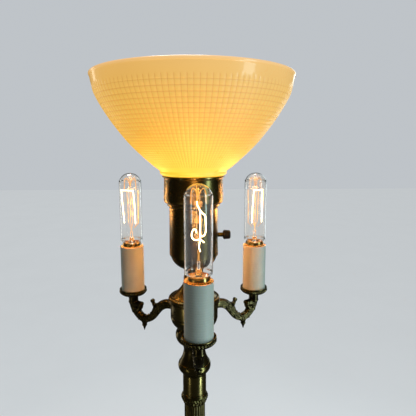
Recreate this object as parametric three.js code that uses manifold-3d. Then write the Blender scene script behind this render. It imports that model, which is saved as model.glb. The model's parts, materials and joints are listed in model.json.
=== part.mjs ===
// Three-arm candelabra torchiere floor lamp: a milk-glass bowl over a brass husk with a mogul socket,
// a hub that carries three scroll arms with candle lights, a reeded column and a weighted round base.
// Millimetres, +Z up. The origin is on the floor, under the lamp's axis. The front arm points close to -Y.
import * as THREE from "three";
import { mergeVertices } from "three/addons/utils/BufferGeometryUtils.js";
import Module from "manifold-3d";

const wasm = await Module();
wasm.setup();

// ---------------------------------------------------------------- driving dimensions
const rimHeight = 1500; // floor to the top of the glass bowl
const bowlRadius = 127; // 10 in reflector bowl
const glassWall = 3.8;
const fitterRadius = 36.5; // 2 7/8 in fitter
const baseRadius = 140; // 11 in base
const armReach = 104.4; // lamp axis to candle axis
const armAngles = [-87.6, 30, 150]; // front, right and left arm, in degrees from +X
const coverRadius = 16.7; // candle cover, outside
const coverLength = 69.6;
const pipeRadius = 5; // 1/8 IP lamp pipe
const sheet = 1.3; // spun and drawn brass
const gap = 0.3; // between pieces that touch
const roundSegments = 20; // facets round the hub, husk and sockets
const wideSegments = 28; // facets round the base and the bowl
const slimSegments = 16; // facets round the column
const candleSegments = 12; // facets round a candle light

const glassFootDepth = 124; // rim to the seat of the glass on its holder
const drumRadius = 32.4;
const reedRadius = 14.8;
const reedCount = 20;
const reedDepth = 0.8;
const tubeRadius = 16.35;
const pipeHole = pipeRadius + 0.4;

// Heights of the joints between the stacked pieces, floor up.
const level = {
  felt: 2,
  baseTop: 58,
  footTop: 132,
  knuckleBottom: 560,
  knuckleTop: 640,
  collarBottom: 1047,
  collarTop: 1069,
  balusterBottom: 1097.5,
  knopBottom: 1133,
  drumBottom: 1166,
  bellBottom: 1203.3,
  capBottom: 1240.3,
  huskBottom: 1269.3,
  holderBottom: 1334.3,
  seat: rimHeight - glassFootDepth - gap,
};
const armHeight = 1190; // where the arms leave the hub
const mainKnobHeight = 1295.8;
const candle = { cupFloor: 1199, cupBottom: 1192.3, glassBottom: 1273.4, glassTop: 1375 };
const candleKnobHeight = 1186;

// ---------------------------------------------------------------- materials
const paint = (color, roughness, metalness) => new THREE.MeshStandardMaterial({ color, roughness, metalness });
const brass = paint(0x6e5a2c, 0.35, 1);
const darkBrass = paint(0x4a3b1e, 0.45, 1);
const brightBrass = paint(0xb08a3c, 0.3, 1);
const steel = paint(0x9a9a98, 0.4, 1);
const castIron = paint(0x3a3a3a, 0.8, 0.6);
const milkGlass = paint(0xf6dca0, 0.25, 0);
const clearGlass = new THREE.MeshStandardMaterial({
  color: 0xf4f4f0,
  roughness: 0.05,
  metalness: 0,
  transparent: true,
  opacity: 0.35,
});
const glow = paint(0xffc56b, 0.5, 0);
const ivory = paint(0xcfcdbd, 0.6, 0);
const porcelain = paint(0xe8e4da, 0.3, 0);
const phenolic = paint(0x15120f, 0.4, 0);
const felt = paint(0x2e3b2c, 0.95, 0);

const lamp = new THREE.Group();
function add(name, geometry, material) {
  const mesh = new THREE.Mesh(geometry, material);
  mesh.name = name;
  lamp.add(mesh);
  return mesh;
}

// ---------------------------------------------------------------- shape helpers
// A turned piece from its section as [radius, height] points. The loop closes on itself,
// or starts and ends on the axis. The direction of the points doesn't matter.
function turned(points, segments = roundSegments) {
  const onAxis = points[0][0] === 0 && points.at(-1)[0] === 0;
  const loop = onAxis ? [...points] : [...points, points[0]];
  const area = loop.reduce((sum, [r, z], i) => {
    const [r2, z2] = loop[(i + 1) % loop.length];
    return sum + r * z2 - r2 * z;
  }, 0);
  if (area < 0) loop.reverse();
  const section = loop.map(([r, z]) => new THREE.Vector2(r, z));
  return new THREE.LatheGeometry(section, segments).rotateX(Math.PI / 2);
}

// A thin shell between an outer and an inner outline, both given from the same end.
function shell(outer, inner, segments) {
  return turned([...outer, ...[...inner].reverse()], segments);
}

function solidOf(geometry) {
  const plain = geometry.index ? geometry.toNonIndexed() : geometry.clone();
  plain.deleteAttribute("normal");
  plain.deleteAttribute("uv");
  const merged = mergeVertices(plain, 1e-3);
  return new wasm.Manifold(
    new wasm.Mesh({
      numProp: 3,
      vertProperties: merged.attributes.position.array,
      triVerts: new Uint32Array(merged.index.array),
    }),
  );
}

function geometryOf(solid) {
  const { vertProperties, triVerts, numProp, numVert } = solid.getMesh();
  const position = new Float32Array(numVert * 3);
  for (let i = 0; i < numVert; i++) {
    position.set(vertProperties.subarray(i * numProp, i * numProp + 3), i * 3);
  }
  return new THREE.BufferGeometry()
    .setAttribute("position", new THREE.BufferAttribute(position, 3))
    .setIndex(new THREE.BufferAttribute(triVerts, 1));
}

const joined = (first, ...others) =>
  geometryOf(others.reduce((sum, part) => sum.add(solidOf(part)), solidOf(first)));
const cut = (body, ...tools) =>
  geometryOf(tools.reduce((rest, tool) => rest.subtract(solidOf(tool)), solidOf(body)));

// A round bar along +X from x0 to x1 at the given height.
function barX(radius, x0, x1, z, segments = 12) {
  return new THREE.CylinderGeometry(radius, radius, x1 - x0, segments)
    .rotateZ(-Math.PI / 2)
    .translate((x0 + x1) / 2, 0, z);
}

// A round rod along a smooth curve through the points.
function rod(points, radius, sides, steps) {
  const path = new THREE.CatmullRomCurve3(points.map((p) => new THREE.Vector3(...p)), false, "centripetal");
  const section = new THREE.Shape().absarc(0, 0, radius, 0, 2 * Math.PI, false);
  return new THREE.ExtrudeGeometry(section, { steps, curveSegments: sides / 2, extrudePath: path });
}

function hexNut(acrossFlats, hole, bottom, thickness) {
  const corner = acrossFlats / Math.sqrt(3);
  const outline = new THREE.Shape(
    Array.from({ length: 6 }, (_, i) => {
      const turn = (i * Math.PI) / 3;
      return new THREE.Vector2(corner * Math.cos(turn), corner * Math.sin(turn));
    }),
  );
  outline.holes.push(new THREE.Path().absarc(0, 0, hole, 0, 2 * Math.PI, true));
  const options = { depth: thickness, bevelEnabled: false, curveSegments: 6 };
  return new THREE.ExtrudeGeometry(outline, options).translate(0, 0, bottom);
}

// ---------------------------------------------------------------- base
// Outer section of the spun base cover, from its bottom edge to its flat top.
const baseOutline = [
  [baseRadius - 2.5, level.felt + gap],
  [baseRadius, 7],
  [baseRadius - 2, 12.4],
  [126, 15.2],
  [113, 18],
  [112, 27.5],
  [106, 30.6],
  [88, 32.8],
  [66, 38],
  [50, 46.5],
  [38, level.baseTop],
  [pipeHole, level.baseTop],
];
const baseInside = [
  [baseRadius - 4, level.felt + gap],
  [baseRadius - 2, 7],
  [baseRadius - 4, 11],
  [112, 16.4],
  [110.4, 26.6],
  [87, 31.4],
  [65, 36.6],
  [49, 45],
  [37, level.baseTop - sheet],
  [pipeHole, level.baseTop - sheet],
];
const bushingHeight = 23.5;
const riserRadius = 112;
const bushingHole = 4.4;
// The bushing's axis runs along +Y, at the back of the base.
const toBack = (geometry) => geometry.rotateZ(Math.PI / 2);

add("felt_pad", turned([[0, 0], [134, 0], [134, level.felt], [0, level.felt]], wideSegments), felt);
const cordHole = toBack(barX(bushingHole + gap, riserRadius - 14, riserRadius + 4, bushingHeight));
add(
  "base_weight",
  turned([
    [pipeHole, 11], [16, 11], [16, 2.6], [122, 2.6], [122, 12.6], [94, 13.6], [88, 26], [34, 28], [pipeHole, 28],
  ]),
  castIron,
);
add("base_cover", cut(shell(baseOutline, baseInside, wideSegments), cordHole), brass);
add(
  "cord_bushing",
  toBack(
    turned(
      [
        [2.6, -6], [bushingHole, -6], [bushingHole, 1.5], [5.4, 1.5], [5.4, 3], [4.6, 4], [2.6, 4],
      ],
      10,
    )
      .rotateY(Math.PI / 2)
      .translate(riserRadius, 0, bushingHeight),
  ),
  phenolic,
);
add("bottom_nut", hexNut(19, pipeHole, 5.4, 5.2), steel);
const pipeTop = level.capBottom + 22;
add(
  "centre_pipe",
  turned([[pipeRadius - 1.6, 4], [pipeRadius, 4], [pipeRadius, pipeTop], [pipeRadius - 1.6, pipeTop]], 12),
  steel,
);

// ---------------------------------------------------------------- column
const coredBore = 11.5; // the cast pieces are cored out round the pipe

const onColumn = (points) => turned(points, slimSegments);
add(
  "foot_vase",
  onColumn([
    [coredBore, level.baseTop + gap], [36, level.baseTop + gap], [36, 65], [23.5, 73], [27.5, 79], [30, 86],
    [24.5, 102], [16.4, 120], [18.6, 124], [18.2, 128], [15.6, level.footTop - gap],
    [coredBore, level.footTop - gap],
  ]),
  brass,
);

// A drawn tube whose outside is rolled into rounded reeds, cut at the bottom and at the top.
function reededTube(bottom, top) {
  const pointsPerReed = 3;
  const count = reedCount * pointsPerReed;
  const outline = new THREE.Shape(
    Array.from({ length: count }, (_, i) => {
      const share = (i % pointsPerReed) / pointsPerReed;
      const radius = reedRadius - (share === 0 ? reedDepth : 0);
      const turn = (i * 2 * Math.PI) / count;
      return new THREE.Vector2(radius * Math.cos(turn), radius * Math.sin(turn));
    }),
  );
  const bore = reedRadius - reedDepth - 1;
  outline.holes.push(new THREE.Path().absarc(0, 0, bore, 0, 2 * Math.PI, true));
  const options = { depth: top - bottom, bevelEnabled: false, curveSegments: 8 };
  return new THREE.ExtrudeGeometry(outline, options).translate(0, 0, bottom);
}
add("lower_reeded_tube", reededTube(level.footTop, level.knuckleBottom - gap), brass);

// The turned knuckle between the two tubes is the same above and below its middle.
const knuckleMiddle = (level.knuckleBottom + level.knuckleTop) / 2;
const knuckleHalf = [[22.5, 4], [17, 9.5], [15.8, 15], [18.6, 24], [19, 28.5], [16.2, 33], [17.4, 36], [15.4, 39.7]];
add(
  "middle_knuckle",
  onColumn([
    [coredBore, knuckleMiddle - 39.7],
    ...[...knuckleHalf].reverse().map(([r, z]) => [r, knuckleMiddle - z]),
    ...knuckleHalf.map(([r, z]) => [r, knuckleMiddle + z]),
    [coredBore, knuckleMiddle + 39.7],
  ]),
  brass,
);
add("upper_reeded_tube", reededTube(level.knuckleTop, level.collarBottom - gap), brass);
add(
  "ring_collar",
  onColumn([
    [coredBore, level.collarBottom], [15.2, level.collarBottom], [17.9, 1054.4], [17.2, 1057.6], [19.2, 1059.6],
    [18.9, 1063], [tubeRadius + 0.1, level.collarTop - gap], [coredBore, level.collarTop - gap],
  ]),
  brass,
);
add(
  "neck_tube",
  onColumn([
    [tubeRadius - sheet, level.collarTop], [tubeRadius, level.collarTop],
    [tubeRadius, level.balusterBottom - gap], [tubeRadius - sheet, level.balusterBottom - gap],
  ]),
  brass,
);
add(
  "baluster",
  onColumn([
    [coredBore, level.balusterBottom], [16.6, level.balusterBottom], [18.6, 1101.6], [21.4, 1104],
    [22.8, 1109.4], [21.9, 1114.4], [17, 1123.6], [15, level.knopBottom - gap], [coredBore, level.knopBottom - gap],
  ]),
  brass,
);
add(
  "knop",
  onColumn([
    [coredBore, level.knopBottom], [15, level.knopBottom], [16.6, 1139.8], [22.6, 1146.4], [25.9, 1155],
    [23.6, 1162.4], [15.6, level.drumBottom - gap], [coredBore, level.drumBottom - gap],
  ]),
  brass,
);

// ---------------------------------------------------------------- hub
const nippleRadius = 4.7;
const armTurns = armAngles.map((degrees) => (degrees * Math.PI) / 180);
const drumOutline = [
  [pipeHole, level.drumBottom], [17, level.drumBottom], [27, 1170.2], [31.6, 1176],
  [drumRadius, 1181], [drumRadius, level.bellBottom - gap],
];
const drumInside = [
  [pipeHole, level.drumBottom + sheet], [17, level.drumBottom + sheet], [26, 1171.4],
  [drumRadius - sheet, 1178], [drumRadius - sheet, level.bellBottom - gap],
];
const armHoles = armTurns.map((turn) =>
  barX(nippleRadius + 0.4, drumRadius - 8, drumRadius + 4, armHeight).rotateZ(turn),
);
const candleKnobHole = toBack(barX(3.4, drumRadius - 8, drumRadius + 4, candleKnobHeight));
add("hub_drum", cut(shell(drumOutline, drumInside), ...armHoles, candleKnobHole), brass);
add("hub_locknut", hexNut(17, pipeHole, level.drumBottom + sheet + gap, 4.5), steel);

const bellTop = level.capBottom - gap;
const bellOutline = [
  [pipeHole, bellTop], [13.6, bellTop], [14.4, 1232], [15.9, 1226.6], [18.8, 1222.2], [24.8, 1215.8],
  [30.6, 1211.4], [34.6, 1209.8], [35.2, 1206.5], [34.2, level.bellBottom],
];
const bellInside = [
  [pipeHole, bellTop - sheet], [12.2, bellTop - sheet], [13, 1232], [14.6, 1226], [17.6, 1221.2],
  [23.8, 1214.6], [30.2, 1210], [33, 1208.8], [32.9, level.bellBottom],
];
add("hub_bell", shell(bellOutline, bellInside), brass);

// ---------------------------------------------------------------- arms
// The arm's side view as a closed outline: u from the lamp's axis, v above or below the arm's root.
const curl = { u: 70.4, v: -0.4, radius: 3.4 };
const neckHalf = 7.2;
const neckTop = candle.cupBottom - gap - armHeight;
const armOutline = new THREE.Shape();
armOutline.moveTo(drumRadius + gap, 6.4);
armOutline.splineThru([[41, 7.6], [49, 5], [56, 1.8], [62, 0.4], [67.4, 1.3]].map((p) => new THREE.Vector2(...p)));
armOutline.absarc(curl.u, curl.v, curl.radius, (150 * Math.PI) / 180, (-130 * Math.PI) / 180, true);
armOutline.splineThru(
  [[67.6, -7.5], [68.6, -12.5], [71.6, -18.6], [76, -23.2], [80.6, -25.2], [85, -22.8], [89.6, -16.4]].map(
    (p) => new THREE.Vector2(...p),
  ),
);
armOutline.splineThru([[87.2, -12.8], [86, -9.2], [88.2, -6], [92.4, -5.6]].map((p) => new THREE.Vector2(...p)));
armOutline.lineTo(armReach - neckHalf, -3);
armOutline.lineTo(armReach - neckHalf, neckTop);
armOutline.lineTo(armReach + neckHalf, neckTop);
armOutline.splineThru(
  [[112.4, -4], [113.4, -10.5], [111.8, -17.5], [107, -24.8], [100, -31.2], [93, -35.8], [89.2, -39]].map(
    (p) => new THREE.Vector2(...p),
  ),
);
armOutline.quadraticCurveTo(86.8, -42, 85.3, -49);
armOutline.quadraticCurveTo(83.8, -41, 80.6, -37.4);
armOutline.splineThru(
  [[76.4, -34.6], [68.3, -29.7], [60.7, -22.4], [54.5, -14.2], [50, -9.6], [44, -7], [drumRadius + gap, -6.6]].map(
    (p) => new THREE.Vector2(...p),
  ),
);
const armHalfWidth = 5.4;
const armBevel = 3;
const armWire = [
  [24, 0, 0], [36, 0, 0], [46, 0, -1], [54, 0, -4.8], [60.6, 0, -11], [66, 0, -18.4], [72.6, 0, -25.4],
  [80, 0, -29.8], [88, 0, -29.4], [95.6, 0, -24.6], [101.4, 0, -17], [104, 0, -8],
  [armReach, 0, 2], [armReach, 0, 14],
];

function scrollArm() {
  const casting = new THREE.ExtrudeGeometry(armOutline, {
    depth: 2 * (armHalfWidth - armBevel),
    bevelThickness: armBevel,
    bevelSize: armBevel * 0.5,
    bevelOffset: -armBevel * 0.5,
    bevelSegments: 1,
    curveSegments: 2,
  })
    .translate(0, 0, armBevel - armHalfWidth)
    .rotateX(Math.PI / 2);
  const hubNipple = barX(nippleRadius, 27, drumRadius + 3, 0);
  const cupNipple = new THREE.CylinderGeometry(nippleRadius, nippleRadius, 14, 12)
    .rotateX(Math.PI / 2)
    .translate(armReach, 0, neckTop + 4);
  const wireway = rod(armWire, 2.4, 6, 14);
  return cut(joined(casting, hubNipple, cupNipple), wireway).translate(0, 0, armHeight);
}

// ---------------------------------------------------------------- candle lights
const onCandle = (points) => turned(points, candleSegments);
const candleBaseRadius = 13; // E26 screw base
const candleGlassRadius = 15.6; // T10 tube
const cupRadius = 20.2;

function candleCup() {
  const bottom = candle.cupBottom;
  const floor = candle.cupFloor - gap;
  return onCandle([
    [5.2, bottom], [9, bottom], [17.6, bottom + 3], [cupRadius, bottom + 5.4], [cupRadius, bottom + 10.6],
    [19, bottom + 11.6], [17.8, bottom + 10.6], [17.8, floor], [5.2, floor],
  ]);
}

function candleSocket() {
  const floor = candle.cupFloor;
  return onCandle([
    [0, floor + 5], [5.2, floor + 5], [5.2, floor], [8, floor], [8, floor + 12], [15, floor + 16],
    [15, 1262], [14.45, 1262], [14.45, 1237.5], [0, 1237.5],
  ]);
}

function candleShell() {
  return onCandle([[9, 1238], [14.1, 1238], [14.1, 1265], [13.7, 1265], [13.7, 1238.6], [9, 1238.6]]);
}

function candleCover() {
  const bottom = candle.cupFloor;
  const top = bottom + coverLength;
  return onCandle([[15.4, bottom], [coverRadius, bottom], [coverRadius, top], [15.4, top]]);
}

function candleBulbGlass() {
  const bottom = candle.glassBottom;
  const top = candle.glassTop;
  const side = candleGlassRadius;
  const wall = 0.8;
  return onCandle([
    [0, top], [8, top - 2.4], [13.8, top - 9], [side, top - 17], [side, bottom + 6], [12, bottom + 0.6],
    [12, bottom - 10], [12 - wall, bottom - 10], [12 - wall, bottom + 1], [side - wall, bottom + 6.8],
    [side - wall, top - 17], [7.6, top - 3.4], [0, top - wall],
  ]);
}

function candleBulbBase() {
  const top = candle.glassBottom;
  const side = candleBaseRadius;
  return onCandle([
    [5.4, top - 22], [9, top - 21.6], [side, top - 18.6], [side, top - 0.6], [12.3, top],
    [12.3, top - 17.6], [5.4, top - 20.8],
  ]);
}

function candleBulbContact() {
  const top = candle.glassBottom;
  return onCandle([[0, top - 26], [3, top - 26], [5, top - 23.6], [5, top - 18.4], [0, top - 18.4]]);
}

// The glass stem with its lead wires, and the looped filament over it.
function candleFilament() {
  const bottom = candle.glassBottom;
  const stem = onCandle([
    [0, bottom - 8], [10.6, bottom - 8], [4, bottom - 2], [2.4, bottom + 14], [0, bottom + 18],
  ]);
  const loop = rod(
    [
      [-5.6, 0, bottom + 13], [-9, 0, bottom + 32], [-10.6, 0, bottom + 72], [0, 0, bottom + 77],
      [10.6, 0, bottom + 72], [9, 0, bottom + 32], [5.6, 0, bottom + 13],
    ],
    0.7,
    4,
    12,
  );
  const yoke = barX(0.9, -6, 6, bottom + 15.4, 6);
  return joined(stem, loop, yoke);
}

const candlePieces = [
  ["candle_cup", candleCup, darkBrass],
  ["candle_socket", candleSocket, phenolic],
  ["candle_socket_shell", candleShell, brightBrass],
  ["candle_cover", candleCover, ivory],
  ["bulb_glass", candleBulbGlass, clearGlass],
  ["bulb_base", candleBulbBase, brightBrass],
  ["bulb_contact", candleBulbContact, phenolic],
  ["bulb_filament", candleFilament, glow],
];
["front", "right", "left"].forEach((side, i) => {
  const turn = armTurns[i];
  add(side + "_arm", scrollArm(), darkBrass).rotation.z = turn;
  for (const [name, make, material] of candlePieces) {
    const piece = add(side + "_" + name, make(), material);
    piece.position.set(armReach * Math.cos(turn), armReach * Math.sin(turn), 0);
  }
});

// ---------------------------------------------------------------- husk and mogul socket
const capOutline = [
  [pipeHole, level.capBottom], [13, level.capBottom], [13, 1247], [15.4, 1251], [25.4, 1258], [29.6, 1264.2],
  [31.4, level.huskBottom - gap],
];
const capInside = [
  [pipeHole, level.capBottom + sheet], [11.7, level.capBottom + sheet], [11.7, 1248], [14.6, 1252.4],
  [24.4, 1259], [30, level.huskBottom - gap],
];
add("husk_cap", shell(capOutline, capInside), brass);

const huskTube = turned([
  [31.2, level.huskBottom], [32.5, level.huskBottom], [31.9, level.holderBottom - gap],
  [30.6, level.holderBottom - gap],
]);
add("husk_tube", cut(huskTube, barX(3.6, 26, 38, mainKnobHeight)), brass);

const holderOutline = [
  [29.8, level.holderBottom], [32.4, level.holderBottom], [34.4, 1338], [37.2, 1340], [38.9, 1343.4],
  [38.5, 1372.4], [40.4, level.seat - 1.6], [40.4, level.seat],
];
const holderInside = [
  [29.8, level.holderBottom + sheet], [32.6, 1338], [37.4, 1344], [37.2, level.seat],
];
add("shade_holder", shell(holderOutline, holderInside), brass);

const mogulBody = turned([
  [0, pipeTop + 2], [pipeHole, pipeTop + 2], [pipeHole, level.capBottom + 9.5], [9, level.capBottom + 9.5],
  [9, 1262], [27.5, 1276], [27.5, 1347], [21.5, 1347], [21.5, 1303], [0, 1303],
]);
add("mogul_socket", cut(mogulBody, barX(3.6, 12, 32, mainKnobHeight)), porcelain);
add(
  "mogul_shell",
  turned([
    [13, 1303.4], [21.1, 1303.4], [21.1, 1345], [20.4, 1345], [20.4, 1304.2], [13, 1304.2],
  ]),
  brightBrass,
);

const shaftRadius = 2.9;

// Ribbed turn knobs: a round barrel with shallow grooves along it.
function turnKnob(inner, outer, radius) {
  const ribs = 8;
  const outline = new THREE.Shape(
    Array.from({ length: ribs * 2 }, (_, i) => {
      const reach = i % 2 ? radius : radius * 0.86;
      const turn = (i * Math.PI) / ribs;
      return new THREE.Vector2(reach * Math.cos(turn), reach * Math.sin(turn));
    }),
  );
  outline.holes.push(new THREE.Path().absarc(0, 0, shaftRadius + 0.3, 0, 2 * Math.PI, true));
  const options = { depth: outer - inner, bevelEnabled: false, curveSegments: 6 };
  return new THREE.ExtrudeGeometry(outline, options).rotateY(Math.PI / 2).translate(inner, 0, 0);
}
const mainKnob = { shaftStart: 16, knobStart: 38.8, end: 49.3, radius: 6.8 };
add("main_switch_shaft", barX(shaftRadius, mainKnob.shaftStart, mainKnob.end - 1, mainKnobHeight), darkBrass);
add(
  "main_switch_knob",
  turnKnob(mainKnob.knobStart, mainKnob.end, mainKnob.radius).translate(0, 0, mainKnobHeight),
  phenolic,
);

// The rotary switch of the candle lights is at the back of the hub, between the two rear arms.
add(
  "candle_switch_body",
  toBack(
    joined(
      new THREE.BoxGeometry(13, 19, 14).translate(20.4, 0, 0),
      barX(6, 26, 29.4, 0, 12),
    ).translate(0, 0, candleKnobHeight),
  ),
  phenolic,
);
add("candle_switch_shaft", toBack(barX(shaftRadius, 29.7, 43.6, candleKnobHeight)), darkBrass);
add("candle_switch_knob", toBack(turnKnob(35.4, 44.6, 6.4).translate(0, 0, candleKnobHeight)), phenolic);

// ---------------------------------------------------------------- main bulb
const bulb = { bottom: 1311, baseTop: 1345, top: 1473, radius: 30, neck: 14.6, wall: 0.8 };
add(
  "main_bulb_base",
  turned([
    [13.2, bulb.bottom], [17, bulb.bottom], [19.5, bulb.bottom + 3], [19.5, bulb.baseTop - 1],
    [15.2, bulb.baseTop], [15.2, bulb.baseTop - 1.2], [18.6, bulb.baseTop - 2.6], [18.6, bulb.bottom + 3.4],
    [13.2, bulb.bottom + 1],
  ]),
  brightBrass,
);
add(
  "main_bulb_contact",
  turned([[0, 1305.4], [5, 1305.4], [11, 1308.6], [12.8, bulb.bottom], [12.8, 1316], [0, 1316]]),
  phenolic,
);
const bulbOutline = [
  [0, bulb.top], [11, bulb.top - 2.4], [20.4, bulb.top - 9.4], [bulb.radius, bulb.top - 32],
  [27.8, bulb.top - 60], [19.4, bulb.top - 96], [bulb.neck, bulb.top - 120], [bulb.neck, 1324],
];
const bulbInside = [
  [0, bulb.top - bulb.wall], [10.6, bulb.top - 3.2], [19.8, bulb.top - 10.2],
  ...bulbOutline.slice(3).map(([r, z]) => [r - bulb.wall, z]),
];
add("main_bulb_glass", turned([...bulbOutline, ...[...bulbInside].reverse()]), clearGlass);
add(
  "main_bulb_filament",
  joined(
    turned([[0, 1325], [12.6, 1325], [5.4, 1332], [3.4, 1372], [0, 1376]], 10),
    rod(
      [[-2, 0, 1368], [-9, 0, 1392], [-10.5, 0, 1416], [0, 0, 1423], [10.5, 0, 1416], [9, 0, 1392], [2, 0, 1368]],
      0.9,
      4,
      12,
    ),
  ),
  glow,
);

// ---------------------------------------------------------------- glass bowl
// The bowl's sides as [radius, depth below the rim]: the swept stretches are curves, the lip and foot are not.
const swept = (points, steps) =>
  new THREE.SplineCurve(points.map((p) => new THREE.Vector2(...p))).getPoints(steps).map((p) => [p.x, p.y]);
const bowlOutside = [
  [bowlRadius - 3, 0],
  [bowlRadius - 0.6, 0.7],
  [bowlRadius, 2.4],
  ...swept([[bowlRadius - 1.4, 5], [122, 23], [106.6, 50.8], [75.8, 89.7], [46.6, 115.4]], 8),
  [43.2, 119],
  [40.3, glassFootDepth],
];
const bowlInside = [
  [bowlRadius - 4.6, 0.8],
  ...swept([[121.8, 5], [118, 23], [102.4, 50], [72.4, 87], [43.6, 112.4]], 6),
  [33, 123],
];
const neckDepth = glassFootDepth + 9;
add(
  "glass_bowl",
  turned(
    [
      ...bowlOutside,
      [fitterRadius, glassFootDepth],
      [fitterRadius, neckDepth],
      [fitterRadius - glassWall, neckDepth],
      ...[...bowlInside].reverse(),
    ].map(([r, depth]) => [r, rimHeight - depth]),
    wideSegments,
  ),
  milkGlass,
);

export default lamp;
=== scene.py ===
import json
import math
import random

import bmesh
import bpy
from mathutils import Matrix, Vector


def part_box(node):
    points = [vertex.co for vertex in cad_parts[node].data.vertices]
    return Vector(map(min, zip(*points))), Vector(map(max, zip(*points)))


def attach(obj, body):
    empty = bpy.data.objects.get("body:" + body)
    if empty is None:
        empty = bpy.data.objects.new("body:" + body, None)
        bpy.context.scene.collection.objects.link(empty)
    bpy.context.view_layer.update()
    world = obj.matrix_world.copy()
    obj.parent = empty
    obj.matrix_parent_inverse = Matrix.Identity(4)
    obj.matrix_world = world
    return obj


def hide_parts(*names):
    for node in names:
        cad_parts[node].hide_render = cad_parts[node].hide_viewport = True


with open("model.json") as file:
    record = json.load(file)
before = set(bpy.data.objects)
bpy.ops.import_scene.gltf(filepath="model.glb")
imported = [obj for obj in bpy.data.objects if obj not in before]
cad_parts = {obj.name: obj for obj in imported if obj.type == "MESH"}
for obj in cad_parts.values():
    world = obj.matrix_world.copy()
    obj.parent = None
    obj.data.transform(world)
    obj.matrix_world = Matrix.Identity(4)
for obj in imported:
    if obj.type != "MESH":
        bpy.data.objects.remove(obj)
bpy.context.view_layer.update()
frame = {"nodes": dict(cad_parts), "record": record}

# A three-light torchiere floor lamp. Numbers are in millimetres until a mesh is made.
# Heights are measured from the floor.
tau = math.tau
mm = 0.001
random.seed(7)


def edges(node):
    # bottom and top of a frame node, in millimetres
    low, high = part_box(node)
    return low.z / mm, high.z / mm


rimHeight = edges("glass_bowl")[1]
coverBottom, coverTop = edges("front_candle_cover")
low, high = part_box("front_candle_cover")
coverRadius = (high.x - low.x) / 2 / mm
candleSpots = {}
for side in ("front", "right", "left"):
    low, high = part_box(side + "_candle_cover")
    candleSpots[side] = ((low.x + high.x) / 2 / mm, (low.y + high.y) / 2 / mm)
armTurns = {side: math.atan2(y, x) for side, (x, y) in candleSpots.items()}
armReach = math.hypot(*candleSpots["front"])
print("frame loaded, lamp height", round(rimHeight), "mm, candle reach", round(armReach, 1), "mm")


def through(points, step):
    # a smooth run through the points, as tuples of any length; distances use the first two values
    if len(points) == 2:
        return [tuple(points[0]), tuple(points[1])]
    first = tuple(2 * a - b for a, b in zip(points[0], points[1]))
    last = tuple(2 * a - b for a, b in zip(points[-1], points[-2]))
    row = [first, *points, last]
    out = []
    for before, a, b, after in zip(row, row[1:], row[2:], row[3:]):
        count = max(2, round(math.dist(a[:3], b[:3]) / step))
        for i in range(count):
            t = i / count
            out.append(tuple(
                0.5 * (2 * q + (r - p) * t + (2 * p - 5 * q + 4 * r - s) * t ** 2
                       + (3 * q - p - 3 * r + s) * t ** 3)
                for p, q, r, s in zip(before, a, b, after)))
    out.append(tuple(points[-1]))
    return out


def curved(points, step=0.8, ease=0.25, closed=True):
    # a section of (radius, height) points; a third value marks a crisp edge, which gets a small chamfer
    points = list(points)
    if closed:
        start = next(i for i, p in enumerate(points) if len(p) == 3)
        points = points[start:] + points[:start + 1]
    runs, run = [], [points[0][:2]]
    for p in points[1:]:
        run.append(p[:2])
        if len(p) == 3:
            runs.append(run)
            run = [p[:2]]
    if len(run) > 1:
        runs.append(run)
    out = []
    for k, run in enumerate(runs):
        line = through(run, step)
        easeStart = closed or k > 0
        easeEnd = closed or k < len(runs) - 1
        if easeStart:
            line[0] = towards(line[0], line[1], ease)
        if easeEnd:
            line[-1] = towards(line[-1], line[-2], ease)
        out += line
    return out


def towards(a, b, distance):
    span = math.dist(a, b)
    share = min(distance / span, 0.4) if span else 0
    return tuple(p + (q - p) * share for p, q in zip(a, b))


def spun(section, around, shape=None, centre=(0, 0)):
    # turns a section round the axis; around is a facet count or a list of angles
    # shape may move a point in or out
    angles = around if isinstance(around, list) else [tau * i / around for i in range(around)]
    verts, rings = [], []
    for row, (radius, height) in enumerate(section):
        if radius < 1e-6:
            rings.append([len(verts)])
            verts.append((centre[0], centre[1], height))
            continue
        rings.append(list(range(len(verts), len(verts) + len(angles))))
        for k, angle in enumerate(angles):
            r = shape(radius, height, angle, row, k) if shape else radius
            verts.append((centre[0] + r * math.cos(angle), centre[1] + r * math.sin(angle), height))
    onAxis = len(rings[0]) == 1 and len(rings[-1]) == 1
    pairs = list(zip(rings, rings[1:])) + ([] if onAxis else [(rings[-1], rings[0])])
    faces = []
    for lower, upper in pairs:
        for k in range(len(angles)):
            n = (k + 1) % len(angles)
            if len(lower) == 1:
                faces.append((lower[0], upper[n], upper[k]))
            elif len(upper) == 1:
                faces.append((lower[k], lower[n], upper[0]))
            else:
                faces.append((lower[k], lower[n], upper[n], upper[k]))
    return verts, faces


def swept(path, sides=12, up=(0, 1, 0)):
    # a closed bar along (x, y, z, half height, half width) points; up starts along the bar's width
    points = [Vector(p[:3]) for p in path]
    across = Vector(up)
    verts, faces = [], []
    for i, p in enumerate(points):
        ahead = points[min(i + 1, len(points) - 1)]
        behind = points[max(i - 1, 0)]
        along = (ahead - behind).normalized()
        across = (across - along * across.dot(along)).normalized()
        other = along.cross(across)
        for k in range(sides):
            a = tau * k / sides
            verts.append(tuple(p + across * (path[i][4] * math.cos(a)) + other * (path[i][3] * math.sin(a))))
    for i in range(len(points) - 1):
        for k in range(sides):
            n = (k + 1) % sides
            faces.append((i * sides + k, i * sides + n, (i + 1) * sides + n, (i + 1) * sides + k))
    last = (len(points) - 1) * sides
    faces.append(tuple(range(sides - 1, -1, -1)))
    faces.append(tuple(last + k for k in range(sides)))
    return verts, faces


def merged(shapes):
    verts, faces = [], []
    for moreVerts, moreFaces in shapes:
        offset = len(verts)
        verts += moreVerts
        faces += [tuple(offset + i for i in face) for face in moreFaces]
    return verts, faces


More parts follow.
